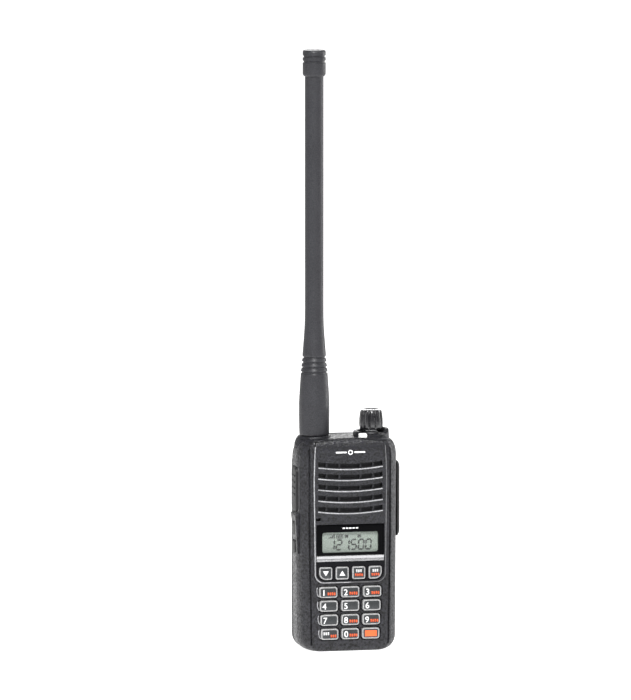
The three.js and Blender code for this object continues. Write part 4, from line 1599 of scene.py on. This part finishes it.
@dataclass
class Keypad:
    """The number keys and function keys, with their outlines, faces and printing."""

    cap_trim: Point2 = (0.5, 0.5)
    function_trim: Point2 = (0.6, 0.4)
    outline_width: float = 0.64
    face_proud: float = 0.06
    cap_front: float = -1.0
    function_front: float = -1.5
    ink_low: float = 0.04
    ink_high: float = 0.1
    digit_height: float = 3.3
    prints: ClassVar[dict[str, tuple[Print, str]]] = {
        "number_key_1": (Print.DIGIT_NOTE, "1"), "number_key_2": (Print.DIGIT_NOTE, "2"),
        "number_key_3": (Print.DIGIT_NOTE, "3"), "number_key_4": (Print.DIGIT, "4"),
        "number_key_5": (Print.DIGIT, "5"), "number_key_6": (Print.DIGIT, "6"),
        "number_key_7": (Print.DIGIT, "7"), "number_key_8": (Print.DIGIT_NOTE, "8"),
        "number_key_9": (Print.DIGIT_NOTE, "9"), "key_enter": (Print.NOTE, ""),
        "number_key_0": (Print.DIGIT_NOTE, "0"), "key_function": (Print.PANEL, ""),
    }
    functions: ClassVar[dict[str, Print]] = {
        "key_down_arrow": Print.DOWN, "key_up_arrow": Print.UP,
        "key_menu": Print.TWO_LINES, "key_clear": Print.TWO_LINES,
    }

    @classmethod
    def digits(cls) -> list[str]:
        """The nodes of the twelve number keys."""
        return list(cls.prints)

    @classmethod
    def first_column(cls) -> list[str]:
        """The nodes of the left-hand number keys."""
        return list(cls.prints)[::3]

    def function_outline(self, node: str) -> Callable[[float], list[Point2]]:
        """A function key's outline, with a large outer lower corner on the end keys.

        Args:
            node: the key's node.

        Returns:
            The outline, as a function of how far it is drawn in.
        """
        key = Footprint.of(node, Plane.FRONT, self.function_trim)

        def drawn(inset: float) -> list[Point2]:
            """The outline drawn in by an inset.

            Args:
                inset: how far it is drawn in.

            Returns:
                The outline's points.
            """
            small, large = max(0.15, 1.0 - inset), max(0.3, 3.5 - inset)
            left = large if node == "key_down_arrow" else small
            right = large if node == "key_clear" else small
            w, h = key.half[0] - inset, key.half[1] - inset
            corners = [(w - small, h - small, small, 0, 5), (small - w, h - small, small, 90, 5),
                       (left - w, left - h, left, 180, 7), (w - right, right - h, right, 270, 7)]
            points = [point for x, z, radius, start, steps in corners
                      for point in arc((x, z), radius, start, start + 90, steps)]
            return [(x + key.centre[0], z + key.centre[1]) for x, z in points]

        return drawn

    def build(self) -> None:
        """Makes every key and the panel and mat behind them."""
        for node, (style, digit) in self.prints.items():
            key = Footprint.of(node, Plane.FRONT, self.cap_trim)
            self.key(node, self.cap_front, 2.6, key.outline(1.25, 0.7))
            self.print_number(node, style, digit, key)
        for node, style in self.functions.items():
            self.key(node, self.function_front, 1.5, self.function_outline(node))
            self.print_function(node, style, Footprint.of(node, Plane.FRONT).centre)
        dress_node("function_key_frame", Look.KEY_PANEL, Edge(0.15, 2, 40))
        dress_node("keypad_mat", Look.GASKET)

    def key(self, node: str, front: float, back: float, outline: Callable[[float], list[Point2]]) -> None:
        """One key: its light outlined cap and the dark face let into it.

        Args:
            node: the key's node.
            front: where its cap's front is.
            back: where its cap's back is.
            outline: its outline, as a function of how far it is drawn in.
        """
        body = f"{node}_body"
        cap = moulding(outline, Plane.FRONT, round_over(front, back, 0.3, 3))
        make(f"{node}_cap", cap, body, Look.KEY_RIM, [node])
        edge = self.outline_width
        levels = [(edge, front + 0.3), (edge, front), (edge + 0.1, front - self.face_proud)]
        make(f"{node}_face", moulding(outline, Plane.FRONT, levels), body, Look.KEY_FACE)

    def mark(self, half: Point2, centre: Point2, front: float, radius: float = 0.12) -> bmesh.types.BMesh:
        """A small printed block on a key's face."""
        outline = rounded_rect(half, radius, 2, centre)
        return slab(outline, Plane.FRONT, front - self.ink_high, front - self.ink_low)

    def note(self, count: int, centre: Point2, front: float, height: float = 0.62) -> bmesh.types.BMesh:
        """A short row of printed boxes, standing for a key's second use.

        Args:
            count: how many boxes.
            centre: the row's middle.
            front: the key's front.
            height: half a box's height.

        Returns:
            The mesh.
        """
        pitch, line = 1.12, 0.17
        start = centre[0] - pitch * (count - 1) / 2
        bars = []
        for step in range(count):
            x, wide = start + pitch * step, 0.43 if step % 2 else 0.36
            for side in (-1, 1):
                bars.append(self.mark((line, height), (x + side * (wide - line), centre[1]), front, 0.05))
            for side in (-1, step % 2):
                bars.append(self.mark((wide, line), (x, centre[1] + side * (height - line)), front, 0.05))
        return joined(bars)

    def numeral(self, digit: str, centre: Point2, front: float) -> bmesh.types.BMesh:
        """A bold numeral on a key's face.

        Args:
            digit: the numeral.
            centre: its middle.
            front: the key's front.

        Returns:
            The mesh.
        """
        curve = bpy.data.curves.new("numeral", "FONT")
        curve.body = digit
        curve.size = self.digit_height * 1.36
        curve.align_x = "CENTER"
        curve.offset = 0.045
        curve.resolution_u = 3
        curve.extrude = 0.03
        holder = bpy.data.objects.new("numeral", curve)
        bpy.context.scene.collection.objects.link(holder)
        bpy.context.view_layer.update()
        data = bpy.data.meshes.new_from_object(holder.evaluated_get(bpy.context.evaluated_depsgraph_get()))
        corner = (centre[0], front - self.ink_high, centre[1] - self.digit_height / 2)
        data.transform(Matrix.Translation(corner) @ Matrix.Rotation(math.pi / 2, 4, "X"))
        mesh = bmesh.new()
        mesh.from_mesh(data)
        bpy.data.objects.remove(holder)
        bpy.data.curves.remove(curve)
        bpy.data.meshes.remove(data)
        bmesh.ops.remove_doubles(mesh, verts=mesh.verts, dist=0.0005)
        return mesh

    def print_number(self, node: str, style: Print, digit: str, key: Footprint) -> None:
        """The printing on a number key.

        Args:
            node: the key's node.
            style: what is printed.
            digit: its numeral, where it has one.
            key: the key's front.
        """
        x, z = key.centre
        front = self.cap_front
        if style in (Print.DIGIT, Print.DIGIT_NOTE):
            self.ink(node, "digit", self.numeral(digit, (x - key.half[0] + 2.35, z), front), Look.WHITE_INK)
        if style is Print.DIGIT_NOTE:
            self.ink(node, "note", self.note(4, (x + 1.6, z - 0.75), front, 0.8), Look.ORANGE_INK)
        if style is Print.NOTE:
            self.ink(node, "mark", self.note(3, (x - 1.9, z + 0.4), front, 0.8), Look.WHITE_INK)
            self.ink(node, "note", self.note(3, (x + 1.9, z - 0.95), front, 0.75), Look.ORANGE_INK)
        if style is Print.PANEL:
            half = (key.half[0] - 1.45, key.half[1] - 1.3)
            self.ink(node, "panel", self.mark(half, key.centre, front, 0.25), Look.ORANGE_INK)

    def print_function(self, node: str, style: Print, centre: Point2) -> None:
        """The printing on a function key.

        Args:
            node: the key's node.
            style: what is printed.
            centre: the key's middle.
        """
        x, z = centre
        front = self.function_front
        if style in (Print.DOWN, Print.UP):
            tip = -1.25 if style is Print.DOWN else 1.25
            outline = [(x - 1.55, z - tip), (x + 1.55, z - tip), (x, z + tip)]
            arrow = slab(outline, Plane.FRONT, front - self.ink_high, front - self.ink_low)
            self.ink(node, "arrow", arrow, Look.WHITE_INK)
        else:
            self.ink(node, "upper_mark", self.note(3, (x, z + 1.0), front, 0.75), Look.WHITE_INK)
            self.ink(node, "lower_mark", self.note(4, (x, z - 1.05), front, 0.7), Look.ORANGE_INK)

    def ink(self, node: str, part: str, mesh: bmesh.types.BMesh, look: Look) -> None:
        """Puts one printed shape on a key."""
        make(f"{node}_{part}", mesh, f"{node}_body", look)


# ------------------------------------------------------------------ side controls
@dataclass
class SideControls:
    """The talk button, the side keys, the jack cover and what is behind them."""

    talk_front: float = 6.4
    key_front: float = 10.0
    back: float = 18.4
    ridge_heights: tuple[float, ...] = (81.9, 85.1, 88.4, 91.6)

    def button(self, node: str, front: float, radius: float, out: float, crown: float) -> bmesh.types.BMesh:
        """A rubber button that bulges out of the left side.

        Args:
            node: the button's node.
            front: where its front end is.
            radius: its corners' radius.
            out: how far out it stands from the centre line.
            crown: how high its rounded part is.

        Returns:
            The mesh.
        """
        seen = Footprint.of(node, Plane.SIDE, (0.0, 0.6))
        face = Footprint(((front + self.back) / 2, seen.centre[1]), ((self.back - front) / 2, seen.half[1]))
        levels = [(-0.55, -23.0), (-0.55, -23.5), (0.0, -23.5), (0.0, crown - out), (0.12, -out + 0.3),
                  (0.5, -out + 0.08), (1.2, -out)]
        return moulding(face.outline(radius, 0.6, 7), Plane.SIDE, levels)

    def build(self) -> None:
        """Makes the buttons and dresses the cover, its screw and the jacks."""
        talk = self.button("talk_button", self.talk_front, 2.8, 27.4, 1.0)
        make("talk_button_rubber", talk, "talk_button_body", Look.DARK_RUBBER, ["talk_button"])
        make("talk_surround", self.surround(), "radio", Look.PAINTED_DIM_HIGHLIGHT)
        depths = [9.2 + 0.8 * step for step in range(9)]
        ridges = [swept([(-27.35, y, z) for y in depths], oval(0.45, 0.6, 12), Vector((0, 0, 1)))
                  for z in self.ridge_heights]
        make("talk_button_ridges", joined(ridges), "talk_button_body", Look.DARK_RUBBER)
        keys = (("side_key_upper", "upper_side_key_body"), ("side_key_lower", "lower_side_key_body"))
        for node, body in keys:
            key = self.button(node, self.key_front, 1.5, 27.2, 0.9)
            make(f"{node}_rubber", key, body, Look.DARK_RUBBER, [node])
        dress_node("side_switch_board", Look.BOARD)
        self.jack_cover()

    def surround(self) -> bmesh.types.BMesh:
        """The thin lip that runs round the front of the talk button's opening, coloured as a dim painted
        highlight of its edge.

        Returns:
            The mesh.
        """
        flat = [(16.5, 96.75), *arc((8.9, 93.9), 2.85, 90, 180, 6), *arc((8.9, 75.5), 2.85, 180, 270, 6)]
        path = [(-26.55 if y > 9.4 else -25.75 - 0.24 * (y - 6.05), y, z) for y, z in flat]
        return swept(path, oval(0.24, 0.24, 8), Vector((1, 0, 0)))

    def jack_cover(self) -> None:
        """The cover over the jacks, chamfered all round, and its slotted screw."""
        low, high = DATUM.layout_box("jack_cover")
        levels = [(0.0, low.x), (0.0, high.x - 1.3), (0.35, high.x - 0.85), (1.2, high.x - 0.2),
                  (1.7, high.x - 0.03), (2.1, high.x)]
        cover = moulding(Footprint.of("jack_cover", Plane.SIDE).outline(2.6, 0.3, 7), Plane.SIDE, levels)
        axis = Footprint.of("jack_cover_screw", Plane.SIDE).centre
        steps = [(Boolean.CUT, slab(circle(axis, 2.2), Plane.SIDE, 27.2, 30)),
                 (Boolean.CUT, slab(circle(axis, 0.95), Plane.SIDE, 20, 30))]
        make("jack_cover_moulded", carved(cover, steps), "jack_cover_body", Look.DARK_RUBBER,
             ["jack_cover"], Edge(0.1, 2, 40))
        dress_node("jack_cover_screw", Look.STEEL, Edge(0.12, 2, 40))
        for node in ("jack_socket_upper", "jack_socket_lower"):
            dress_node(node, Look.NICKEL)


# ------------------------------------------------------------------ knob, lamp and antenna
@dataclass
class VolumeKnob:
    """The fluted knob, its shaft and the transmit lamp beside it."""

    axis: Point2 = (14.2, 14.0)
    radius: float = 6.35
    bottom: float = 114.6
    top: float = 125.0
    flutes: int = 10
    depth: float = 1.0

    def flute(self, turn: float, height: float) -> float:
        """How far the skirt is drawn in at an angle: round lands with narrow valleys between.

        Args:
            turn: the angle round the knob.
            height: the height on the knob.

        Returns:
            The distance.
        """
        wave = 0.5 + 0.5 * math.cos(self.flutes * turn + 0.9)
        below = min(1.0, max(0.0, (height - self.bottom) / 1.6))
        above = min(1.0, max(0.0, (self.top - 0.35 - height) / 1.4))
        return self.depth * wave**3 * below * above

    def build(self) -> None:
        """Makes the knob and dresses its shaft, its control and the lamp."""
        r = self.radius
        low, high = self.bottom, self.top
        profile = [(3.1, low), (r - 1.4, low), (r - 0.8, low + 0.25), (r - 0.3, low + 0.9),
                   (r - 0.05, low + 1.8), (r, low + 3.2), (r - 0.1, low + 5.2), (r - 0.3, low + 7.2),
                   (r - 0.5, high - 1.9), (r - 0.75, high - 0.9), (r - 1.1, high - 0.3),
                   (r - 1.7, high - 0.02), (r - 2.0, high - 0.02), (r - 2.35, high - 0.3),
                   (r - 3.6, high - 0.55), (0.01, high - 0.6)]
        knob = turned([(0.01, 121.4), (3.1, 121.4), *profile], self.axis, 160, self.flute)
        make("knob_fluted", knob, "knob_body", Look.KNOB, ["volume_knob"])
        dress_node("volume_shaft", Look.STEEL)
        dress_node("volume_control", Look.CAST)
        low, high = DATUM.layout_box("transmit_lamp_lens")
        outline = Footprint.of("transmit_lamp_lens", Plane.PLAN).outline(0.7)
        lamp = moulding(outline, Plane.PLAN, round_over(high.z, low.z, 0.6, 4))
        make("lamp_lens", lamp, "radio", Look.LAMP, ["transmit_lamp_lens"])


@dataclass
class Antenna:
    """The rubber antenna: boot, flex rings, whip and end cap, over its plug and socket."""

    axis: Point2 = (-16.05, 14.0)
    bottom: float = 112.5
    bore: float = 6.2
    bore_top: float = 127.3
    end: float = 309.1
    cap_radius: float = 6.0
    cap_bottom: float = 299.7
    cap_top: float = 313.3
    segments: int = 96

    def rings(self) -> list[Point2]:
        """The four grooved flex rings, each smaller than the one below.

        Returns:
            The profile's points.
        """
        points: list[Point2] = []
        for index in range(4):
            crest, groove, start = 7.05 - 0.29 * index, 6.4 - 0.29 * index, 144.4 + 2.6 * index
            points += [(crest, start), (crest - 0.12, start + 0.28), (groove + 0.1, start + 0.42),
                       (groove, start + 0.62), (groove, start + 0.95), (groove + 0.12, start + 1.15),
                       (crest - 0.2, start + 1.3), (crest - 0.05, start + 1.5)]
        return points

    def sleeve(self) -> list[Point2]:
        """The moulded sleeve's profile, from its bore up to the end of the whip.

        Returns:
            The profile's points.
        """
        bore = [(0.01, self.bore_top), (self.bore, self.bore_top), (self.bore, self.bottom)]
        boot = [(7.3, self.bottom), (7.62, self.bottom + 0.1), (7.78, self.bottom + 0.45),
                (7.82, self.bottom + 1.2), (7.93, 118.0), (7.97, 124.0), (7.93, 130.0), (7.66, 135.0),
                (7.34, 140.0), (7.12, 143.2)]
        taper = [(6.16, 154.6), (5.98, 156.4), (5.8, 158.8), (5.6, 161.4), (5.36, 164.2), (5.16, 167.2),
                 (5.0, 170.2), (4.9, 173.6), (4.84, 178.0), (4.83, 184.0), (4.83, 240.0),
                 (4.83, self.end - 0.3), (4.5, self.end), (0.01, self.end)]
        return [*bore, *boot, *self.rings(), *taper]

    def cap(self) -> list[Point2]:
        """The end cap's profile, with two grooves near the top.

        Returns:
            The profile's points.
        """
        r, low, high = self.cap_radius, self.cap_bottom, self.cap_top
        grooves: list[Point2] = []
        for z in (307.3, 310.0):
            grooves += [(r, z - 0.62), (r - 0.12, z - 0.5), (r - 0.5, z - 0.36), (r - 0.55, z),
                        (r - 0.5, z + 0.36), (r - 0.12, z + 0.5), (r, z + 0.62)]
        skirt = [(0.01, self.end + 0.3), (4.98, self.end + 0.3), (4.98, low), (r - 0.75, low),
                 (r - 0.4, low + 0.25), (r - 0.1, low + 0.8), (r, low + 1.3)]
        crown = [(r, high - 0.9), (r - 0.12, high - 0.45), (r - 0.45, high - 0.12), (r - 0.9, high),
                 (0.01, high)]
        return [*skirt, *grooves, *crown]

    def build(self) -> None:
        """Makes the sleeve and cap and dresses the plug and socket."""
        sleeve = turned(self.sleeve(), self.axis, self.segments)
        make("antenna_moulded_sleeve", sleeve, "antenna_body", Look.ANTENNA,
             ["antenna_sleeve"])
        cap = turned(self.cap(), self.axis, self.segments)
        make("antenna_end_cap", cap, "antenna_body", Look.ANTENNA, ["antenna_cap"])
        dress_node("antenna_plug", Look.NICKEL)
        dress_node("antenna_socket", Look.NICKEL)


# ------------------------------------------------------------------ battery pack and belt clip
@dataclass
class BatteryPack:
    """The pack's shell and cover, its cells, latch, charging studs and belt clip."""

    form: BodyForm
    cover_front: float = 22.9
    cover_back: float = 24.0
    top: float = 98.4
    wall: float = 1.5
    stud_z: float = 20.0
    stud_places: tuple[float, ...] = (-6.0, 6.0)

    def build(self) -> None:
        """Makes the shell and cover from the shared form, and dresses the rest."""
        cover = block((-40, self.cover_front, 0.1), (40, self.cover_back, self.top))
        lip = [(Boolean.KEEP, block((-40, 22.68, 0.3), (40, 22.95, self.top - 0.3))),
               (Boolean.CUT, self.form.core(2.4, self.top - 2))]
        make("pack_shell", self.shell(), "battery_body", Look.CASE, ["battery_case"],
             Edge(0.25, 2, 32))
        make("pack_lip", carved(self.form.mesh(0.3), lip), "battery_body", Look.CASE)
        make("pack_cover", carved(self.form.mesh(), [(Boolean.KEEP, cover)]), "battery_body", Look.CASE,
             ["battery_cover"], Edge(0.2, 2, 32))
        studs = [self.stud(x) for x in self.stud_places]
        make("charging_studs", joined(studs), "battery_body", Look.BRASS)
        for node in ("battery_cell_left", "battery_cell_right"):
            dress_node(node, Look.CELL, Edge(0.4, 3, 40))
        dress_node("battery_latch", Look.DARK_RUBBER, Edge(0.15, 2, 40))
        dress_node("clip_base", Look.CASE, Edge(0.2, 2, 40))
        dress_node("clip_lever", Look.CASE, Edge(0.3, 3, 40))
        dress_node("clip_pin", Look.STEEL)

    def shell(self) -> bmesh.types.BMesh:
        """The hollow pack, with wells for the latch and studs and a recess for its plain label.

        Returns:
            The shell.
        """
        back = self.form.back
        room = block((-22.6, 20, 2), (22.6, 40, self.top - 2))
        hollow = carved(self.form.mesh(self.wall), [(Boolean.KEEP, room)])
        latch = slab(rounded_rect((8.4, 4.4), 1.5, 5, (0, 8)), Plane.FRONT, 28, 40)
        wells = [slab(circle((x, self.stud_z), 2.2), Plane.FRONT, back - 0.4, 40) for x in self.stud_places]
        recess = slab(rounded_rect((16.5, 17.5), 2.5, 5, (0, 42)), Plane.FRONT, back - 0.3, 40)
        steps = [(Boolean.KEEP, block((-40, self.cover_back + 0.1, -5), (40, 60, self.top)))]
        steps += [(Boolean.CUT, cut) for cut in (hollow, latch, joined(wells), recess)]
        return carved(self.form.mesh(), steps)

    def stud(self, x: float) -> bmesh.types.BMesh:
        """A round charging stud on the pack's back.

        Args:
            x: where it is across the pack.

        Returns:
            The stud.
        """
        contact = turned([(0.01, 0.0), (1.7, 0.0), (1.7, 0.25), (1.45, 0.4), (0.01, 0.4)], (0, 0), 32)
        place = Matrix.Translation((x, self.form.back - 0.42, self.stud_z))
        turn = Matrix.Rotation(-math.pi / 2, 4, "X")
        bmesh.ops.transform(contact, matrix=place @ turn, verts=contact.verts)
        return contact


@dataclass
class Internals:
    """The boards and parts that the case hides."""

    looks: dict[str, Look] = field(default_factory=lambda: {
        "key_board": Look.BOARD,
        "main_board": Look.BOARD,
        "rf_shield": Look.STEEL,
        "speaker": Look.CAST,
        "microphone": Look.NICKEL,
        "terminal_block": Look.BRASS,
    })

    def build(self) -> None:
        """Dresses each hidden part."""
        for node, look in self.looks.items():
            dress_node(node, look)


# ------------------------------------------------------------------ studio
@dataclass
class Studio:
    """A pale seamless floor, soft lights and the camera."""

    azimuth: float = -12.0
    elevation: float = 7.0
    distance_m: float = 6.0
    lens_mm: float = 594.0
    aim_z: float = 156.7
    aim_right: float = 0.68
    sky: float = 0.12
    glow: float = 1.15
    bend_start: float = 8.6
    bend_radius: float = 2.4
    wall_height: float = 6.5
    sight_slope: float = 0.2126
    sight_start: float = 6.5
    lit_point: Point3 = (0.0, 0.0, 0.12)

    def paper(self) -> bpy.types.Material:
        """The floor's matt paper, which glows most in a soft band behind the radio, as the camera sees it.

        Returns:
            The material.
        """
        bench = Bench("studio_paper")
        cloud = bench.noise(300.0, 2.0)
        depth = bench.add("ShaderNodeSeparateXYZ", None, {"Vector": bench.place()}, "Y")
        sideways = bench.add("ShaderNodeSeparateXYZ", None, {"Vector": bench.place()}, "X")
        across = sideways - depth * self.sight_slope
        spread = ((across * (depth + self.sight_start) ** -1.0) ** 2).above(0.012, 0.022)
        glow = depth.above(-0.45, 0.3) * (1.0 - spread) * 0.6 + depth.above(-0.3, 1.2) * 0.2 + 0.14
        return bench.finish({
            "Base Color": bench.blend(cloud, (0.6, 0.6, 0.6), (0.63, 0.63, 0.63)),
            "Roughness": 0.85,
            "Emission Color": bench.blend(glow, (0.0, 0.0, 0.0), (1.0, 1.0, 1.0)),
            "Emission Strength": self.glow,
        })

    def floor(self) -> None:
        """A pale floor that curves up behind the radio and at its sides, and runs out flat in front."""
        radius = self.bend_radius
        start = self.bend_start
        angles = [math.radians(9 * step) for step in range(11)]
        curve = [(start + radius * math.sin(turn), radius * (1 - math.cos(turn))) for turn in angles]
        profile = [(0.02, 0.0), (0.5, 0.0), (1.5, 0.0), *curve, (start + radius, self.wall_height)]
        turns = 72
        points, faces = [], []
        for step in range(turns):
            turn = 2 * math.pi * step / turns
            lift = min(1.0, max(0.0, (math.sin(turn) + 0.62) / 0.3))
            for reach, height in profile:
                out = reach + (1 - lift) * height * 1.2
                points.append((out * math.cos(turn), out * math.sin(turn), height * lift))
        count = len(profile)
        for step in range(turns):
            for index in range(count - 1):
                near, far = step * count + index, ((step + 1) % turns) * count + index
                faces.append((near, far, far + 1, near + 1))
        faces.append(tuple(step * count for step in reversed(range(turns))))
        data = bpy.data.meshes.new("studio_floor")
        data.from_pydata(points, [], faces)
        data.shade_smooth()
        data.materials.append(self.paper())
        sweep = bpy.data.objects.new("studio_floor", data)
        bpy.context.scene.collection.objects.link(sweep)

    def light(self, name: str, place: Point3, size: Point2, power: float) -> None:
        """One soft rectangular light.

        Args:
            name: the light's name.
            place: where it is.
            size: its width and height.
            power: its power in watts.
        """
        data = bpy.data.lights.new(name, "AREA")
        data.shape = "RECTANGLE"
        data.size, data.size_y = size
        data.energy = power
        lamp = bpy.data.objects.new(name, data)
        bpy.context.scene.collection.objects.link(lamp)
        lamp.location = place
        lamp.rotation_euler = (Vector(self.lit_point) - Vector(place)).to_track_quat("-Z", "Y").to_euler()

    def build(self) -> None:
        """Sets the world, the floor, the lights and the camera."""
        world = bpy.data.worlds.new("studio")
        bpy.context.scene.world = world
        world.use_nodes = True
        world.node_tree.nodes["Background"].inputs["Color"].default_value = (1.0, 1.0, 1.0, 1.0)
        world.node_tree.nodes["Background"].inputs["Strength"].default_value = self.sky
        bpy.context.scene.view_settings.view_transform = "Standard"
        self.floor()
        self.light("key_light", (-0.3, -1.15, 1.05), (0.5, 0.3), 26.0)
        self.light("fill_light", (1.3, -1.2, 0.8), (0.4, 0.9), 3.0)
        self.light("back_light", (0.3, 1.3, 0.66), (0.8, 0.25), 3.0)
        self.light("top_light", (0.0, -0.1, 1.1), (0.4, 0.3), 3.0)
        self.light("left_strip", (-1.1, -0.5, 0.35), (0.12, 0.9), 1.0)
        self.light("right_strip", (1.1, 0.25, 0.35), (0.2, 0.9), 5.0)
        self.camera()

    def camera(self) -> None:
        """A long lens a little above the radio's middle, seeing its left side."""
        data = bpy.data.cameras.new("camera")
        data.lens = self.lens_mm
        data.sensor_width = 36.0
        turn, lift = math.radians(self.azimuth), math.radians(self.elevation)
        back = Vector((math.sin(turn) * math.cos(lift), -math.cos(turn) * math.cos(lift), math.sin(lift)))
        right = Vector((math.cos(turn), math.sin(turn), 0.0))
        axis = Antenna().axis
        aim = DATUM.at(axis[0], axis[1], self.aim_z) + right * self.aim_right * MM
        camera = bpy.data.objects.new("camera", data)
        bpy.context.scene.collection.objects.link(camera)
        camera.location = aim + back * self.distance_m
        camera.rotation_euler = (-back).to_track_quat("-Z", "Y").to_euler()
        data.clip_start, data.clip_end = 0.05, 50.0
        bpy.context.scene.camera = camera


def main() -> None:
    """Builds the radio's looks, sub-assembly by sub-assembly."""
    logging.basicConfig(level=logging.INFO, format="%(name)s: %(message)s")
    form = BodyForm()
    assemblies = [Studio(), FrontCase(form), Bezel(), Display(), TrimBar(), Keypad(), SideControls(),
                  VolumeKnob(), Antenna(), BatteryPack(form), Internals()]
    for assembly in assemblies:
        assembly.build()
        LOG.info("built %s", type(assembly).__name__)


if __name__ == "__main__":
    main()
